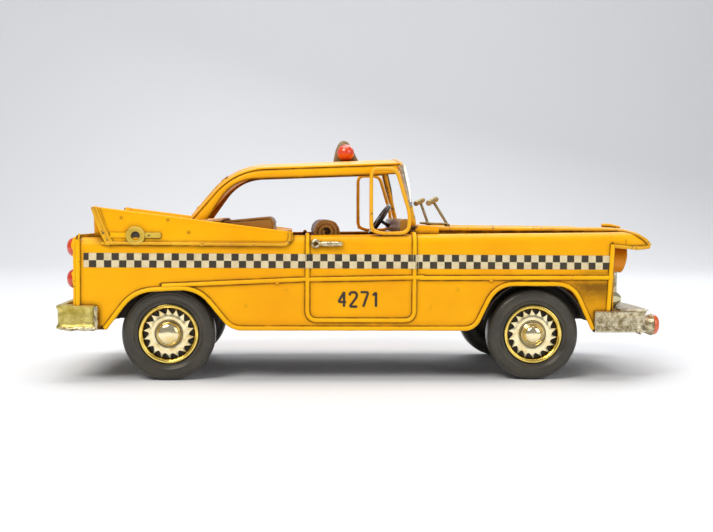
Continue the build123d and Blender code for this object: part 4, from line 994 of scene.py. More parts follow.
both_sides("brow_skins", brow_shell(), CAB, replaces=["headlamp_brows"], slot="body_paint", solid=SHEET,
           grime=brow_grime)
rim_route = [(138.0, -50.5, 81.7), (142.5, -52.5, 81.3), (147.6, -56.0, 79.4), (151.6, -57.0, 76.9),
             (153.7, -56.8, 73.9)]
foot_route = [(NOSE_X - 0.4, -SIDE_Y - 0.2, 73.6), (141.0, -SIDE_Y - 0.2, 72.9), (147.5, -SIDE_Y + 0.6, 72.4),
              (153.4, -57.0, 73.3)]
brow_wires = [wire(resample(rounded(route, 3.0), 0.7), radius, sides=12, rough=rough, seed=seed)
              for route, radius, rough, seed in ((rim_route, 1.05, 0.14, 73.0),
                                                 (foot_route, 1.0, 0.22, 74.0))]
both_sides("brow_rims", join(*brow_wires), WORN, slot="bead_paint")

# ---------------------------------------------------------------- roof
ROOF_Y = DECK_Y - 2.0
ROOF_CURVE = rounded(side_view(ROOF_ROUTE), ROOF_BEND, BEND_STEPS)
SPINE = resample(ROOF_CURVE, 1.5)
WINDOW_Y, WINDOW_LOW, WINDOW_HIGH = 36.0, 90.3, 105.8


def spine_place(z):
    """The spine's index, as a fraction, at a height on its rear slope."""
    heights = [p.z for p in SPINE]
    for i in range(len(SPINE) - 1, 0, -1):
        if heights[i] <= z <= heights[i - 1]:
            return i - (z - heights[i]) / (heights[i - 1] - heights[i])
    return 0.0


def roof_point(place, y, lift=0.0):
    """A place on the roof: along the spine by index, and across by y."""
    low = min(int(place), len(SPINE) - 2)
    p = SPINE[low].lerp(SPINE[low + 1], place - low)
    along = (SPINE[low + 1] - SPINE[low]).normalized()
    out = Vector((-along.z, 0, along.x))
    if out.z < 0:
        out = -out
    crown = ROOF_CROWN * (1 - (y / ROOF_Y) ** 2) + 0.12 * wobble(p.x, y, p.z, 22.0, 81.0)
    return p + out * (crown + lift) + Vector((0, y, 0))


window_top, window_foot = spine_place(WINDOW_HIGH), spine_place(WINDOW_LOW)
whole_steps = set(float(i) for i in range(len(SPINE) - 1))
places = sorted(whole_steps | {window_foot, window_top, len(SPINE) - 1.001})
across = sorted(set(np.round(np.linspace(-ROOF_Y, ROOF_Y, 51), 3)) | {-WINDOW_Y, WINDOW_Y})
verts, faces = grid([[tuple(roof_point(place, y)) for y in across] for place in places])
# The rear window's faces are left out.
kept_faces = []
for index, face in enumerate(faces):
    row, column = divmod(index, len(across) - 1)
    in_rows = window_top - 1e-6 <= places[row] and places[row + 1] <= window_foot + 1e-6
    if not (in_rows and -WINDOW_Y - 1e-6 <= across[column] and across[column + 1] <= WINDOW_Y + 1e-6):
        kept_faces.append(face)


def roof_grime(x, y, z):
    # Painted shade along the side edges beside the rails and round the rear window's wire; darker towards the
    # foot of the rear slope.
    edge = shade((np.abs(y) - 48.3) / 1.2) * 0.85
    window = shade(1 - (np.abs(y) - 36) / 2) * (np.abs(y) > 35) * (z > 88) * (z < 108) * (x < -70)
    foot = shade((89.0 - z) / 3) * 0.6
    return np.maximum.reduce([edge, window * 0.4, foot])


make("roof_skin", facing_out((verts, kept_faces)), CAB, replaces=["roof_panel"], slot="body_paint",
     solid=SHEET, grime=roof_grime, closed_up=False)

frame_corners = [(window_foot, -WINDOW_Y), (window_foot, WINDOW_Y), (window_top, WINDOW_Y),
                 (window_top, -WINDOW_Y)]
window_loop = []
for (p0, y0), (p1, y1) in zip(frame_corners, frame_corners[1:] + frame_corners[:1]):
    for step in range(24):
        share = step / 24
        window_loop.append(roof_point(p0 + (p1 - p0) * share, y0 + (y1 - y0) * share, 0.1))
make("rear_window_wire", wire(window_loop, 1.15, sides=12, closed=True, rough=0.10, seed=83.0), WORN,
     replaces=["rear_window_frame"], slot="bead_paint")

# Two thin wires twisted together at the window's upper corner.
twists = []
for turn in (0.0, math.pi):
    coil = [roof_point(window_top - 1.5 + 0.12 * k, -35.5 + 0.45 * math.cos(1.3 * k + turn),
                       1.0 + 0.45 * math.sin(1.3 * k + turn)) for k in range(22)]
    twists.append(wire(coil, 0.33, sides=8, seed=84.0))
make("rear_window_twist", join(*twists), WORN, slot="bead_paint")


def rail(inner_route, seed):
    """The rolled edge of the roof, from the windscreen to the foot of the pillar; right side."""
    outer = resample(ROOF_CURVE, 1.2)
    inner_steps = resample(rounded(side_view(inner_route), RAIL_BEND, BEND_STEPS), 0.2)
    rows = []
    for i, top in enumerate(outer):
        low = inner_steps[round(i * (len(inner_steps) - 1) / (len(outer) - 1))]
        row = []
        for k in range(12):
            t = k / 11
            p = top.lerp(low, t)
            swell = 1.7 * math.sin(math.pi * min(1.0, t * 0.9 + 0.08)) ** 0.6
            row.append((p.x, -ROOF_Y - 0.3 - swell - 0.1 * wobble(p.x, t * 5, p.z, 6.0, seed), p.z))
        for t in (1.0, 0.5, 0.0):
            p = top.lerp(low, t)
            row.append((p.x, -ROOF_Y + 0.3, p.z))
        row.append(row[0])
        rows.append(row)
    verts, faces = grid(rows)
    width = len(rows[0])
    faces.append(tuple(range(width - 1)))
    faces.append(tuple(reversed(range(len(verts) - width, len(verts) - 1))))
    return verts, faces


def rail_grime(x, y, z):
    # Painted shade along both edges of the rail and on its inner faces.
    inner = distance_to(flat_route(rounded(side_view(RAIL_INNER), RAIL_BEND, BEND_STEPS)), x, z)
    outer = distance_to(flat_route(ROOF_CURVE), x, z)
    inside = (np.abs(y) < ROOF_Y + 0.35) * 0.75
    return np.maximum.reduce([shade(1 - inner / 1.1), shade(1 - outer / 0.7) * 0.9, inside])


right_rail = rail(RAIL_INNER, 85.0)
left_rail = mirrored(rail(LEFT_RAIL_INNER, 88.0))
gutter_points = [p + Vector((0, -ROOF_Y - 1.0, 0.75)) for p in resample(ROOF_CURVE, 1.0)]
gutter = wire(gutter_points, 0.62, sides=10, rough=0.12, seed=86.0)
make("rail_right", join(right_rail, gutter), CAB, replaces=["roof_rail_right"], slot="body_paint",
     grime=rail_grime)
make("rail_left", join(left_rail, mirrored(gutter)), CAB, replaces=["roof_rail_left"], slot="body_paint",
     grime=rail_grime)

# ---------------------------------------------------------------- wheels
TYRE_PROFILE = [
    (16.3, -8.6), (17.2, -9.6), (19.6, -10.2), (22.4, -9.7), (24.2, -8.2), (24.85, -6.4), (25.0, -3.6),
    (25.0, -0.4), (24.8, 1.0), (24.2, 2.1), (23.5, 2.62), (23.2, 2.55), (23.0, 2.75), (21.8, 3.12),
    (21.5, 3.02), (21.2, 3.16), (20.2, 3.2), (19.9, 3.06), (19.6, 3.14), (18.6, 2.85), (18.3, 2.5),
    (18.1, 2.1), (17.6, 1.75), (16.9, 1.7), (16.5, 1.9), (16.15, 1.5), (16.0, 0.2), (16.0, -8.0)]
RIM_PROFILE = [(16.0, -2.0), (16.0, 1.2), (15.7, 1.85), (15.1, 2.1), (14.5, 1.95), (14.0, 1.35), (13.65, 0.4),
               (13.5, -0.5), (13.2, -0.9)]
WINDOW_COUNT = 18
SPIKE_FOOT, SPIKE_LENGTH = 10.75, 2.75


def disc_point(radius, angle, inset):
    """A place on the wheel's disc, about the wheel's own centre."""
    return (radius * math.cos(angle), inset, radius * math.sin(angle))


def web_profile(radius):
    """How far the disc stands out, by radius: a flat centre, a groove and a soft dish."""
    return float(np.interp(radius, [0.0, 6.4, 6.7, 7.2, 7.6, 9.2, 10.6, 13.6],
                           [0.1, 0.1, -0.55, -0.55, 0.0, 0.15, -0.1, -0.9]))


def rim_web(seed):
    """The disc with a ring of windows whose inner edges are bent up into curved spikes."""
    steps_per_window = 14
    count = WINDOW_COUNT * steps_per_window
    verts, faces = [], []
    inner_radii = [2.0, 4.0, 6.0, 6.4, 6.7, 7.2, 7.6, 8.6, 9.6, 10.4]
    edge_radius = []
    for i in range(count):
        phase = (i % steps_per_window) / steps_per_window
        # A spike grows out of the disc at each bar between windows.
        spike = max(0.0, 1 - abs(phase - 0.5) / 0.44) ** 1.7
        edge_radius.append(SPIKE_FOOT + SPIKE_LENGTH * spike)
    for i in range(count):
        angle = 2 * math.pi * i / count
        for radius in inner_radii:
            dents = 0.05 * wobble(math.cos(angle) * radius, 0, math.sin(angle) * radius, 3.0, seed)
            verts.append(disc_point(radius, angle, web_profile(radius) + dents))
        tip_share = (edge_radius[i] - SPIKE_FOOT) / SPIKE_LENGTH
        lean = 0.055 * tip_share
        for inset, drop, rise in ((0, 0.1, 0.5), (0.05, 0.9, 0.2)):
            verts.append(disc_point(edge_radius[i] - inset, angle + lean,
                                    web_profile(10.0) - drop + rise * tip_share))
    width = len(inner_radii) + 2
    for i in range(count):
        j = (i + 1) % count
        for k in range(width - 1):
            faces.append((i * width + k, i * width + k + 1, j * width + k + 1, j * width + k))
    return verts, faces


def placed_wheel(shape, x, side):
    """A wheel part, drawn about its own centre with +y outwards, put on the car."""
    verts, faces = shape
    moved = [(x + a, side * (WHEEL_Y + b), AXLE_Z + c) for a, b, c in verts]
    return (moved, faces) if side == RIGHT else (moved, [tuple(reversed(face)) for face in faces])


HUB_REAR = [(6.4, -0.4), (6.4, 0.9), (6.15, 1.9), (5.5, 2.85), (4.4, 3.5), (3.0, 3.9), (1.5, 4.07),
            (0.0, 4.1)]
HUB_FRONT = [(6.45, -0.3), (6.4, 0.6), (6.1, 0.85), (5.6, 0.75), (5.25, 1.0), (5.0, 2.0), (4.4, 3.0),
             (3.3, 3.7), (1.8, 4.05), (0.0, 4.1)]
HERE = (0, 0, 0)
caps = {"rear_wheels": [], "front_wheels": []}
for corner, (body, side) in WHEELS.items():
    axle_x = REAR_AXLE_X if body == "rear_wheels" else FRONT_AXLE_X
    seed = 100.0 + 7 * len(caps["rear_wheels"]) + 13 * len(caps["front_wheels"])
    tyre = lathe(TYRE_PROFILE, HERE, "Y", 144, seed=seed, uneven=0.002)
    rim_ring = lathe(RIM_PROFILE, HERE, "Y", 144, seed=seed, uneven=0.003)
    barrel = lathe([(15.9, -7.6), (13.6, -2.2), (13.4, -1.6), (0.0, -1.4)], HERE, "Y", 72)
    hub_profile = HUB_REAR if body == "rear_wheels" else HUB_FRONT
    hub = lathe(hub_profile, HERE, "Y", 64, seed=seed, uneven=0.004)
    for name, shape, material, replaced, slot in (
            (f"tyre_{corner}_rubber", tyre, RUBBER, [f"tyre_{corner}"], "tyre_rubber"),
            (f"rim_{corner}_chrome", rim_web(seed), REFLECTION_TINTED_CHROME, [f"rim_{corner}"], "chrome"),
            (f"rim_{corner}_ring", rim_ring, REFLECTION_TINTED_RIM_CHROME, [], "chrome"),
            (f"rim_{corner}_inside", barrel, UNDER, [], "floor_paint")):
        make(name, placed_wheel(shape, axle_x, side), material, body, replaced, slot)
    caps[body].append(placed_wheel(hub, axle_x, side))
make("hub_domes_rear", join(*caps["rear_wheels"]), REFLECTION_TINTED_CHROME, "rear_wheels", ["hub_caps_rear"], "chrome")
make("hub_domes_front", join(*caps["front_wheels"]), REFLECTION_TINTED_CHROME, "front_wheels", ["hub_caps_front"], "chrome")

# ---------------------------------------------------------------- bumpers
BUMPER_Y = 61.3


def bumper_route(end_x, bar_x, reach):
    """Around one end of the car, from the right side's end to the left's, in plan."""
    plan = [(end_x, -BUMPER_Y, 0), (bar_x, -BUMPER_Y, 0), (bar_x, BUMPER_Y, 0), (end_x, BUMPER_Y, 0)]
    return resample(rounded(plan, reach, 12), 1.1)


def bumper(end_x, bar_x, reach, low_z, high_z, lip, wavy, seed):
    """A channel bent around the car's end: a face with its upper and lower edges turned in."""
    route = bumper_route(end_x, bar_x, reach)
    rows = []
    for i, here in enumerate(route):
        along = (route[min(i + 1, len(route) - 1)] - route[max(i - 1, 0)]).normalized()
        inward = Vector((-along.y, along.x, 0)) * (1 if end_x < bar_x else -1)
        jag = wavy * wobble(here.x, here.y, 0, 3.0, seed) + 0.5 * wavy * wobble(here.x, here.y, 4, 1.3, seed)
        jag_top = wavy * wobble(here.x, here.y, 9, 4.0, seed + 3)
        jag_top += 0.4 * wavy * wobble(here.x, here.y, 4, 1.5, seed)
        section = [(lip + jag_top, high_z + 0.5), (lip * 0.5, high_z + 0.35), (0.7, high_z + 0.1),
                   (-0.15, high_z - 0.4), (-0.3, high_z - 1.2), (0.15, high_z - 2.0), (0.6, high_z - 2.9)]
        for k in range(1, 8):
            z = high_z - 2.9 + (low_z + 2.6 - high_z + 2.9) * k / 8
            section.append((0.62 + 0.22 * wobble(here.x, here.y, z, 3.2, seed + 1), z))
        section += [(0.5, low_z + 2.3), (0.0, low_z + 1.6), (-0.35 + 0.3 * jag, low_z + 0.9),
                    (-0.2 + 0.35 * jag, low_z + 0.15), (0.6, low_z - 0.15), (lip * 0.8, low_z)]
        rows.append([tuple(here + inward * inset + Vector((0, 0, z))) for inset, z in section])
    return grid(rows)


make("front_bumper_steel", bumper(122.9, 153.4, 9.0, 26.8, 38.4, 6.2, 0.55, 121.0), SILVER,
     replaces=["front_bumper"], slot="aged_steel", solid=0.8)
make("rear_bumper_steel", bumper(-144.9, -165.75, 6.0, 28.1, 40.6, 4.6, 0.30, 125.0), STEEL,
     replaces=["rear_bumper"], slot="aged_steel", solid=0.8)

# A plate lies on the front bumper and runs back under the body.
shelf_rows = []
for here in bumper_route(137.0, 154.4, 9.0):
    edge = 0.7 * wobble(here.x, here.y, 0, 3.4, 131.0) + 0.4 * wobble(here.x, here.y, 0, 1.4, 132.0)
    outward = Vector((here.x - 138.0, here.y * 0.35, 0)).normalized()
    lift = 0.5 * wobble(here.x, here.y, 3, 5.0, 133.0)
    middle = Vector((min(here.x, 136.0), here.y * 0.9, 0))
    shelf_rows.append([tuple(place + Vector((0, 0, z)))
                       for place, z in ((here + outward * (0.1 + edge), 38.7 + lift),
                                        (here - outward * 2.0, 39.2 + lift * 0.5),
                                        (middle.lerp(here, 0.4), 39.4), (middle, 39.3))])
make("front_bumper_shelf", grid(shelf_rows), SILVER, slot="aged_steel", solid=0.5)

# Rough solder where the rear bumper's sides end.
end_bead = [Vector((-144.2 - 0.5 * wobble(0, 0, z, 2.0, 141.0), -BUMPER_Y - 0.2, z))
            for z in np.arange(28.4, 40.6, 0.6)]
foot_bead = [Vector((x, -BUMPER_Y - 0.2, 28.5 + 0.5 * wobble(x, 0, 0, 2.4, 142.0)))
             for x in np.arange(-163.0, -144.0, 0.7)]
beads = (wire(end_bead, 1.2, sides=12, rough=0.45, seed=143.0),
         wire(foot_bead, 1.05, sides=12, rough=0.5, seed=144.0))
both_sides("rear_bumper_solder", join(*beads), SILVER, slot="aged_steel")


def guard(y):
    """A tube on the bumper's face ending in a flared ring, on a flat foot."""
    profile = [(3.9, 0.0), (4.3, 0.2), (4.4, 1.8), (4.7, 3.4), (5.4, 5.2), (6.1, 6.9), (6.25, 7.5),
               (5.9, 7.8), (5.3, 7.0), (4.2, 5.0)]
    ring = lathe(profile, (153.6, y, GUARD_Z), "X", 48, seed=151.0, uneven=0.02)
    foot = plate([(y - 4.5, 23.6), (y + 4.5, 23.6), (y + 4.2, 37.4), (y - 4.2, 37.4)],
                 lambda a, b: (153.55, a, b), (1.0, 0, 0))
    return join(ring, foot)


make("guards", join(guard(-GUARD_Y), guard(GUARD_Y)), SILVER, replaces=["bumper_guards"], slot="chrome",
     bevel=0.25)
guard_lens_profile = [(0.0, 7.0), (2.8, 6.8), (4.7, 6.2), (5.7, 5.0), (5.95, 3.4), (5.3, 2.6), (4.2, 0.8),
                      (4.0, 0.0)]
guard_lenses = [lathe(guard_lens_profile, (158.1, y, GUARD_Z), "X", 40) for y in (-GUARD_Y, GUARD_Y)]
make("guard_lenses", join(*guard_lenses), AMBER, replaces=["guard_lamp_lenses"], slot="amber_lens")

# ---------------------------------------------------------------- nose and tail
def panel_rows(x, half_y, low_z, high_z, outward, seed):
    """An upright sheet across the car, a little uneven."""
    rows = []
    for k in range(int(half_y) + 1):
        y = -half_y + 2.0 * k
        rows.append([(x + outward * 0.15 * wobble(0, y, z, 14.0, seed), y, z)
                     for z in np.linspace(low_z, high_z, 24)])
    return grid(rows)


make("front_panel_skin", panel_rows(133.5, 58.5, 29.2, 73.2, 1, 161.0), CAB, replaces=["front_panel"],
     slot="body_paint", solid=0.7)


def tail_grime(x, y, z):
    # Painted shade in a ring round each lamp's collar; darker towards the bottom edge.
    rings = np.minimum(*[np.hypot(np.abs(y) - TAIL_LAMP_Y, z - lamp_z) for lamp_z in TAIL_LAMPS_Z])
    return np.maximum(shade(1 - np.abs(rings - 7.2) / 0.9) * 0.8, shade((31 - z) / 2) * 0.6)


make("tail_panel_skin", panel_rows(-155.65, 58.0, 29.1, 76.4, -1, 163.0), CAB, replaces=["rear_panel"],
     slot="body_paint", solid=0.7, grime=tail_grime)

# The grille: a ring on a skirt, with five bars across and five up and down.
GRILLE_Z = 52.0
grille_turns = [(0, 14.2), (34.2, 14.2), (34.2, -14.2), (-34.2, -14.2), (-34.2, 14.2), (0, 14.2)]
ring_points = resample(rounded([(140.9, y, GRILLE_Z + z) for y, z in grille_turns], 5.0), 1.2)[:-1]
grille_shapes = [wire(ring_points, 1.9, sides=14, closed=True, rough=0.05, seed=165.0)]
for k in range(5):
    z = GRILLE_Z - 9.6 + 4.8 * k
    bar = [(138.4, -33, z), (139.2, 0, z), (138.4, 33, z)]
    grille_shapes.append(wire(resample(bar, 1.5), 0.75, sides=10, seed=166.0 + k))
    y = -24.0 + 12.0 * k
    upright = [(137.4, y, GRILLE_Z - 13), (137.4, y, GRILLE_Z + 13)]
    grille_shapes.append(wire(resample(upright, 1.5), 0.65, sides=10, seed=176.0 + k))
skirt_rows = [[(x, p.y, p.z) for x in (133.7, 136.1, 138.4, 140.7)] for p in ring_points + ring_points[:1]]
grille_shapes.append(grid(skirt_rows))
make("grille_wires", join(*grille_shapes), SILVER, replaces=["grille"], slot="chrome")
shadow = [(-33.0, GRILLE_Z - 13), (33.0, GRILLE_Z - 13), (33.0, GRILLE_Z + 13), (-33.0, GRILLE_Z + 13)]
make("grille_shadow", plate(shadow, lambda a, b: (133.95, a, b), (0.35, 0, 0)), BLACK, slot="black_paint")


def headlamp_barrel(y):
    """A short tube with a slanting mouth."""
    rows = []
    for k in range(56):
        angle = 2 * math.pi * k / 56
        up = math.sin(angle)
        mouth = 142.4 + 1.4 * up
        section = [(6.5, 133.9), (6.7, 136.5), (6.6, mouth - 1.6), (6.95, mouth - 0.6), (6.9, mouth + 0.1),
                   (6.35, mouth + 0.1), (6.1, mouth - 1.0), (5.9, 136.6)]
        rows.append([(x, y + r * math.cos(angle), HEADLAMP_Z + r * up) for r, x in section])
    return grid(rows, wrap=True)


HEADLAMP = painted("headlamp_orange", (0.92, 0.40, 0.012), (0.64, 0.20, 0.01), (0.06, 0.02, 0.005),
                   stain=1.0, chips=0.6, grain=2.0)
make("headlamp_barrels", join(headlamp_barrel(-LAMP_Y), headlamp_barrel(LAMP_Y)), HEADLAMP,
     replaces=["headlamp_housings"], slot="body_paint")
glass_profile = [(0.0, 3.4), (2.2, 3.1), (4.2, 2.2), (5.5, 0.9), (5.9, 0.0), (5.9, -1.0)]
glasses = [lathe(glass_profile, (136.0, y, HEADLAMP_Z), "X", 40) for y in (-LAMP_Y, LAMP_Y)]
make("headlamp_glass", join(*glasses), CLEAR, replaces=["headlamp_lenses"], slot="clear_lens")


def parking_lamp(y):
    """A small lamp moulded with flat facets."""
    rows = []
    for k in range(10):
        angle = 2 * math.pi * (k + 0.5) / 10
        rows.append([(133.8 + x, y + r * math.cos(angle), PARKING_Z + r * math.sin(angle))
                     for r, x in ((5.1, 0.0), (5.3, 2.8), (4.5, 4.6), (3.2, 6.4), (1.6, 7.9), (0.0, 8.6))])
    return grid(rows, wrap=True)


LAMP_SILVER = metal("parking_silver", (0.80, 0.72, 0.44), (0.55, 0.46, 0.24), 0.2, 0.4, 240.0,
                    corner_grime=0.5)
make("parking_facets", join(parking_lamp(-LAMP_Y), parking_lamp(LAMP_Y)), LAMP_SILVER,
     replaces=["parking_lamps"], slot="clear_lens", sharp=20.0)

# ---------------------------------------------------------------- tail lamps
TAIL_FACE_X = -156.0


def wavy_collar(y, z, size):
    """Paint laid thickly round the foot of a lamp, with a wavy edge."""
    rows = []
    for k in range(72):
        angle = 2 * math.pi * k / 72
        a, b = math.cos(angle), math.sin(angle)
        rise = 2.3 + 1.3 * wobble(4 * a, y, 4 * b, 2.6, z)
        rows.append([(TAIL_FACE_X - x, y + r * a, z + r * b)
                     for r, x in ((5.2, rise), (5.5, rise + 0.1), (5.75, rise - 0.3), (5.95, 0.8 * rise),
                                  (size, 0.5), (size + 0.3, -0.2))])
    return grid(rows, wrap=True)


tail_lens_profile = [(5.2, 0.3), (5.35, 1.6), (5.1, 3.3), (4.2, 4.8), (2.7, 5.7), (1.2, 6.05), (0.0, 6.1)]
lens_shapes, collar_shapes = [], []
for side in (RIGHT, LEFT):
    for lamp_z, size in zip(TAIL_LAMPS_Z, (6.4, 6.1)):
        place = (TAIL_FACE_X, side * TAIL_LAMP_Y, lamp_z)
        lens_shapes.append(lathe(tail_lens_profile, place, "X", 48, -1))
        collar_shapes.append(wavy_collar(side * TAIL_LAMP_Y, lamp_z, size))
make("tail_lenses", join(*lens_shapes), RED, replaces=["tail_lamp_lenses"], slot="red_lens")
make("tail_collars", join(*collar_shapes), BEAD, replaces=["tail_lamp_bezels"], slot="bead_paint")

# ---------------------------------------------------------------- scuttle, dashboard and steering wheel
cowl = bent_skin([(25.6, 81.2), (27.6, 84.0), (37.1, 83.3), (38.4, 82.9)], 51.6, 0.5, 1.2, 181.0,
                 lambda x: belt_z(x) + 0.1, spacing=0.8)
make("cowl_skin", cowl, CAB, replaces=["cowl_panel"], slot="body_paint", solid=SHEET, closed_up=False)
DASH_EDGES = [(17.9, 79.8), (17.9, 86.6), (21.0, 87.6), (23.9, 86.2), (23.9, 79.8)]
DASH_ROUTE = rounded(side_view(DASH_EDGES), 1.0, 4)
DASH_WIDTH, DASH_STEPS = 91.0, 60
dash_rows = []
for k in range(DASH_STEPS + 1):
    y = -DASH_WIDTH / 2 + DASH_WIDTH * k / DASH_STEPS
    dash_rows.append([(p.x + 0.18 * wobble(p.x, y, p.z, 5.0, 183.0), y,
                       p.z + 0.18 * wobble(p.x, y, p.z, 6.0, 184.0)) for p in DASH_ROUTE])
verts, faces = grid(dash_rows)
count = len(DASH_ROUTE)
faces += [tuple(range(count)), tuple(reversed(range(len(verts) - count, len(verts))))]
faces += [(k * count, (k + 1) * count, (k + 2) * count - 1, (k + 1) * count - 1) for k in range(DASH_STEPS)]
DASH = painted("dash_brown", (0.46, 0.22, 0.03), (0.30, 0.17, 0.03), (0.04, 0.02, 0.006), rough=0.4,
               stain=0.8, chips=0.4, grain=2.5)
make("dashboard_box", (verts, faces), DASH, replaces=["dashboard"], slot="seat_paint", bevel=0.2)

wheel_up = Vector((0, 1, 0))
wheel_side = STEERING_AXIS.cross(wheel_up)


def hoop_point(radius, angle):
    """A place in the steering wheel's plane."""
    return STEERING_CENTRE + wheel_up * radius * math.cos(angle) + wheel_side * radius * math.sin(angle)


hoop = [hoop_point(10.2, a) for a in np.linspace(0, 2 * math.pi, 72, endpoint=False)]
boss = [STEERING_CENTRE - STEERING_AXIS * 1.2, STEERING_CENTRE, STEERING_CENTRE + STEERING_AXIS * 1.6]
column = [STEERING_CENTRE + STEERING_AXIS, STEERING_CENTRE + STEERING_AXIS * 16.5]
steering = [wire(hoop, 1.25, sides=12, closed=True, rough=0.04, seed=191.0),
            wire(boss, lambda share: 2.2 + share * 0.3, sides=20, rough=0.02, seed=192.0),
            wire(resample(column, 1.0), 1.05, sides=14, seed=193.0)]
for k in range(4):
    tip = hoop_point(10.0, math.pi / 4 + math.pi / 2 * k)
    steering.append(wire(resample([STEERING_CENTRE, tip], 0.8), 0.65, sides=10, seed=194.0 + k))
make("steering_wheel_wire", join(*steering), BLACK, "steering", ["steering_wheel"], "black_paint")

# ---------------------------------------------------------------- windscreen, vents and wipers
def screen_point(y, up):
    """A place on the windscreen's slanting plane; up runs from 0 at the foot to 1 at the top."""
    return Vector((25.0 - 7.8 * up, y, 84.4 + 33.0 * up))


screen_corners = ((0, 0.02), (51.0, 0.02), (50.6, 0.985), (-50.6, 0.985), (-51.0, 0.02), (0, 0.02))
screen_loop = rounded([screen_point(y, up) for y, up in screen_corners], 3.0)
screen_loop = resample(screen_loop, 1.0)[:-1]
# The top wire follows the roof's crown.
for point in screen_loop:
    point.z += 0.9 * ROOF_CROWN * (1 - (point.y / 51.0) ** 2) * clamp((point.z - 110.0) / 5.0)
make("screen_wire", wire(screen_loop, 1.3, sides=14, closed=True, rough=0.08, seed=201.0), WORN,
     replaces=["windscreen_frame"], slot="bead_paint")
# A bright strip is folded over the upper part of each post.
post_rows = []
for i in range(36):
    up = 0.30 + 0.67 * i / 35
    here = screen_point(-51.3, up)
    width = 1.05 + 1.0 * min(1.0, (up - 0.30) / 0.35)
    post_rows.append([(here.x + width * a, here.y + b - 0.05 * wobble(here.x, b, here.z, 2.5, 203.0),
                       here.z + 0.3 * a)
                      for a, b in ((-0.9, 0.9), (-1.0, -0.8), (-0.5, -1.5), (0.4, -1.55), (1.0, -0.9),
                                   (0.95, 0.9))])
POST = metal("post_chrome", (0.92, 0.82, 0.66), (0.50, 0.33, 0.13), 0.12, 0.34, 110.0, (0.50, 0.66), 0.15,
             200.0, 0.3)
both_sides("screen_post_strips", grid(post_rows), POST, slot="chrome")

VENT_Y = -56.5
VENT_ROUTE = [(1.0, 97.0), (1.2, 81.4), (7.0, 79.5), (21.4, 79.9), (22.0, 90.0), (14.6, 114.2), (1.0, 114.2),
              (1.0, 97.0)]
vent_route = rounded([(x, VENT_Y, z) for x, z in VENT_ROUTE], [3.0, 2.5, 6.5, 4.0, 4.0, 4.0])
vent_wire = wire(resample(vent_route, 0.9)[:-1], 1.05, sides=14, closed=True, rough=0.08, seed=213.0)
VENT = painted("vent_wire_paint", (0.93, 0.47, 0.015), (0.80, 0.36, 0.01), (0.07, 0.02, 0.004), rough=0.33,
               grime_reach=1.6, stain=0.6, chips=0.55, grain=1.6)
vent_joints = [solder(9.5, 79.6, 1.1, 211.0, -56.9), solder(1.8, 81.2, 1.0, 212.0, -56.9)]
both_sides("vent_wires", join(vent_wire, *vent_joints), VENT, replaces=["vent_frames"], slot="bead_paint")

wiper_shapes, blade_shapes = [], []
for foot_x, foot_y, tip_back, seed in ((47.6, -20.0, 7.6, 221.0), (41.8, 20.0, 4.4, 231.0)):
    arm = [(foot_x, foot_y, 83.2), (foot_x - 0.5, foot_y, 85.2), (foot_x - tip_back, foot_y + 4.0, 97.4)]
    arm = resample(rounded(arm, 1.6), 0.6)
    wiper_shapes.append(wire(arm, 0.82, sides=10, rough=0.12, seed=seed))
    foot_rod = resample([(foot_x - 0.2, foot_y - 6.0, 83.9), (foot_x, foot_y + 6.0, 83.9)], 0.6)
    wiper_shapes.append(wire(foot_rod, 0.85, sides=10, rough=0.2, seed=seed + 1))
    push_rod = resample([(36.5, foot_y - 1.5, 84.8), (foot_x + 0.4, foot_y - 1.0, 84.6)], 0.6)
    wiper_shapes.append(wire(push_rod, 0.75, sides=10, rough=0.25, seed=seed + 3))
    tip_x = foot_x - tip_back
    blade = resample([(tip_x - 4.0, foot_y - 5.0, 96.4), (tip_x + 2.8, foot_y + 12.0, 99.0)], 0.45)
    blade_shapes.append(wire(blade, lambda share: 1.25 + 0.3 * math.sin(share * 68), sides=12, rough=0.2,
                             seed=seed + 2))
TARNISHED = metal("wiper_wire", (0.42, 0.32, 0.16), (0.16, 0.10, 0.05), 0.3, 0.6, 300.0, corner_grime=0.6)
make("wiper_arms", join(*wiper_shapes, *blade_shapes), TARNISHED, replaces=["wipers"], slot="aged_steel")

# ---------------------------------------------------------------- seats
def seat_strip(route, half_width, corner, seed, texture):
    """A bent sheet with a stamped, leathery surface."""
    spine = resample(rounded(side_view(route), corner), 0.9)
    rows = []
    for i, p in enumerate(spine):
        along = (spine[min(i + 1, len(spine) - 1)] - spine[max(i - 1, 0)]).normalized()
        out = Vector((-along.z, 0, along.x))
        row = []
        for k in range(81):
            y = half_width * (2 * k / 80 - 1)
            lift = texture * (0.6 * wobble(p.x, y, p.z, 2.6, seed) + 0.4 * wobble(p.x, y, p.z, 1.2, seed + 2))
            row.append(tuple(p + out * lift + Vector((0, y, 0))))
        rows.append(row)
    return grid(rows)


front_route = [(-28.3, 33.1), (-28.3, 85.6), (-16.1, 85.6), (-15.6, 56.2), (4.0, 56.2), (5.0, 33.1)]
rear_route = [(-78.4, 33.1), (-78.4, 84.8), (-52.4, 87.4), (-49.0, 56.2), (-36.0, 56.2), (-35.0, 33.1)]
make("front_seat_cover", seat_strip(front_route, 42.0, [6.0, 6.0, 3.5, 4.0], 241.0, 0.45), SEAT,
     replaces=["front_seat"], slot="seat_paint", solid=0.8, closed_up=False)
make("rear_seat_cover", seat_strip(rear_route, 44.0, [1.2, 3.0, 3.5, 4.0], 243.0, 0.35), SEAT,
     replaces=["rear_seat"], slot="seat_paint", solid=0.8, closed_up=False)

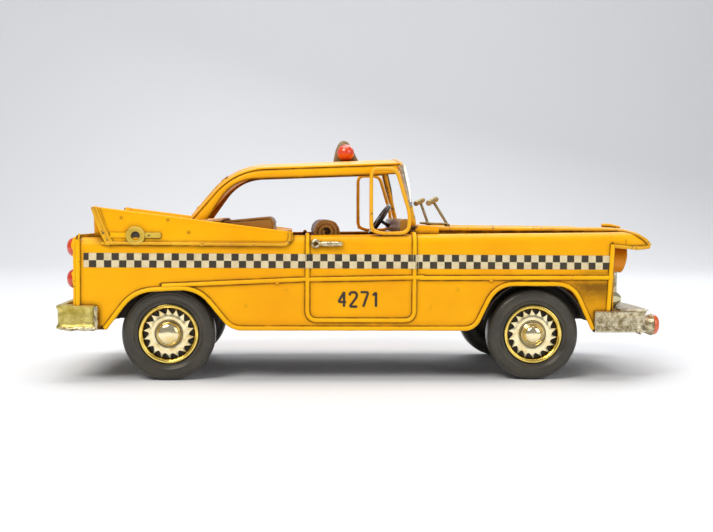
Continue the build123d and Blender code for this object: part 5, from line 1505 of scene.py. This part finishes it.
# The front seat's back ends in a roll, wound like a scroll; the rear seat's back has a thick top.
ROLL_X, ROLL_Z = -22.2, 79.9
scroll = []
for step in range(90):
    share = step / 89
    angle = math.radians(200 - 780 * share)
    radius = 5.3 - 4.4 * share
    scroll.append((ROLL_X + radius * math.cos(angle), ROLL_Z + radius * math.sin(angle)))
make("front_seat_roll", seat_strip(scroll, 41.8, 0.01, 245.0, 0.3), SEAT, slot="seat_paint", solid=1.65,
     closed_up=False)
roll_core = [Vector((ROLL_X, y, ROLL_Z)) for y in np.arange(-38.0, 38.5, 1.0)]
make("front_seat_roll_core", wire(roll_core, 3.6, sides=20, rough=0.05, seed=247.0), SEAT, slot="seat_paint")
slab = [(-77.8, 84.65), (-52.8, 87.15), (-50.9, 85.0), (-51.6, 80.8), (-56.0, 80.6), (-77.8, 82.0)]
make("rear_seat_slab", plate(slab, lambda a, b: (a, -43.8, b), (0, 87.6, 0)), SEAT, slot="seat_paint",
     bevel=0.5)

# ---------------------------------------------------------------- wheel wells
WELL_RADIUS, WELL_FOOT_Z, WELL_WALL_Y = 29.4, 33.2, 40.6


def wheel_well(centre_x):
    """The dark lining over one right wheel: an arched strip closed by a wall on its inner side."""
    start = math.asin((WELL_FOOT_Z - AXLE_Z) / WELL_RADIUS)
    rows = []
    for angle in np.linspace(start, math.pi - start, 41):
        x, z = centre_x + WELL_RADIUS * math.cos(angle), AXLE_Z + WELL_RADIUS * math.sin(angle)
        row = [(x, y, z + 0.12 * wobble(x, y, z, 9.0, 261.0)) for y in np.linspace(-57.9, -WELL_WALL_Y, 12)]
        row += [(x, -WELL_WALL_Y, z + (WELL_FOOT_Z - z) * k / 6) for k in range(1, 7)]
        rows.append(row)
    return grid(rows)


wells = join(wheel_well(REAR_AXLE_X), wheel_well(FRONT_AXLE_X))
both_sides("wheel_wells", wells, UNDER, slot="floor_paint", solid=0.5, closed_up=False)

# ---------------------------------------------------------------- beacon
BEACON_X = [-17.2, -16.9, -16.0, -14.6, -13.0, -11.4, -10.0, -8.4, -6.6, -4.8, -3.2, -2.2]
BEACON_TOP = [0.8, 3.4, 7.4, 10.8, 12.7, 13.4, 13.2, 12.0, 9.4, 6.0, 2.8, 0.8]


def beacon_shell():
    """A teardrop standing on the roof, steep in front of its tail and drawn out behind."""
    rows = []
    for k in range(61):
        t = k / 60
        x = BEACON_X[0] + 15.0 * t
        height = float(np.interp(x, BEACON_X, BEACON_TOP))
        half = max(0.5, 3.0 * math.sin(math.pi * (0.1 + 0.8 * t)) ** 0.6)
        row = []
        for m in range(19):
            angle = math.pi * m / 18
            z = 119.6 + height * math.sin(angle) ** 0.75
            y = half * math.cos(angle)
            row.append((x, -y, z + 0.1 * wobble(x, y, z, 3.0, 251.0)))
        rows.append(row)
    verts, faces = grid(rows)
    width = 19
    faces += [tuple(range(width)), tuple(reversed(range(len(verts) - width, len(verts))))]
    return verts, faces


make("beacon_body", beacon_shell(), BEACON, replaces=["roof_beacon"], slot="beacon_paint")
ball = [(5.0 * math.cos(a), 5.0 * math.sin(a)) for a in np.linspace(-math.pi / 2.6, math.pi / 2, 20)]
ball_profile = [(max(r, 0.0), 3.4 + h) for r, h in ball]
balls = [lathe(ball_profile, (-10.2, 0, 125.4), "Y", 48, side) for side in (RIGHT, LEFT)]
make("beacon_balls", join(*balls), RED, replaces=["roof_beacon_lenses"], slot="red_lens")

# ---------------------------------------------------------------- studio
PAPER, tree, shader, place = new_material("studio_paper")
paper_colour = mix(tree, noise_node(tree, place, 3.0), (0.80, 0.81, 0.83), (0.78, 0.79, 0.81))
tree.links.new(paper_colour, shader.inputs["Base Color"])
shader.inputs["Roughness"].default_value = 0.85
# The floor curves up into a wall behind the car.
BEND_Y, BEND = 1100, 600
floor_rows = []
for x in np.linspace(-3000, 3000, 13):
    row = [(x, y, 0.0) for y in np.linspace(-2500, BEND_Y, 13)]
    row += [(x, BEND_Y + BEND * math.sin(a), BEND * (1 - math.cos(a)))
            for a in np.linspace(0.15, math.pi / 2, 12)]
    row += [(x, BEND_Y + BEND, z) for z in (1000, 1800, 2600)]
    floor_rows.append(row)
floor = make("studio_floor", facing_out(grid(floor_rows)), PAPER, closed_up=False)


def area_light(name, place, target, size, power, colour=(1, 1, 1)):
    """A soft light at a place, in metres, aimed at another."""
    light = bpy.data.lights.new(name, "AREA")
    light.shape = "RECTANGLE"
    light.size, light.size_y = size
    light.energy = power
    light.color = colour
    lamp = bpy.data.objects.new(name, light)
    lamp.location = place
    lamp.rotation_euler = (Vector(target) - Vector(place)).to_track_quat("-Z", "Y").to_euler()
    bpy.context.scene.collection.objects.link(lamp)


area_light("key_light", (-0.75, -1.1, 1.35), (0.0, 0.0, 0.06), (0.9, 0.7), 18.0, (1.0, 0.96, 0.90))
area_light("fill_light", (1.2, -1.0, 0.7), (0.0, 0.0, 0.06), (1.0, 0.9), 5.5, (0.96, 0.98, 1.0))
area_light("top_light", (0.0, 0.1, 1.5), (0.0, 0.0, 0.05), (1.4, 1.0), 15.0)
area_light("back_light", (0.4, 1.1, 0.9), (0.0, 0.0, 0.05), (1.4, 0.6), 6.0)
world = bpy.data.worlds.new("studio_world")
world.use_nodes = True
world.node_tree.nodes["Background"].inputs["Color"].default_value = (0.86, 0.89, 0.94, 1.0)
world.node_tree.nodes["Background"].inputs["Strength"].default_value = 0.34
bpy.context.scene.world = world
bpy.context.scene.view_settings.view_transform = "Standard"
bpy.context.scene.view_settings.look = "None"

# ---------------------------------------------------------------- camera
camera_data = bpy.data.cameras.new("camera")
camera_data.lens = 54.15
camera_data.sensor_width = 36.0
camera_data.clip_start = 0.01
camera = bpy.data.objects.new("camera", camera_data)
# Where the photo's camera stood, in millimetres, and how it was turned, in degrees.
CAMERA_PLACE = Vector((-42.36, -631.58, 90.31))
turn, dip, lean = (math.radians(a) for a in (3.554, 2.812, 0.441))
forward = Vector((math.sin(turn) * math.cos(dip), math.cos(turn) * math.cos(dip), -math.sin(dip)))
across_view = Vector((math.cos(turn), -math.sin(turn), 0))
up_view = across_view.cross(forward)
tilted_across = across_view * math.cos(lean) + up_view * math.sin(lean)
tilted_up = up_view * math.cos(lean) - across_view * math.sin(lean)
axes = Matrix((tilted_across, tilted_up, -forward)).transposed().to_4x4()
camera.matrix_world = Matrix.Translation(CAMERA_PLACE * MM) @ axes
bpy.context.scene.collection.objects.link(camera)
bpy.context.scene.camera = camera
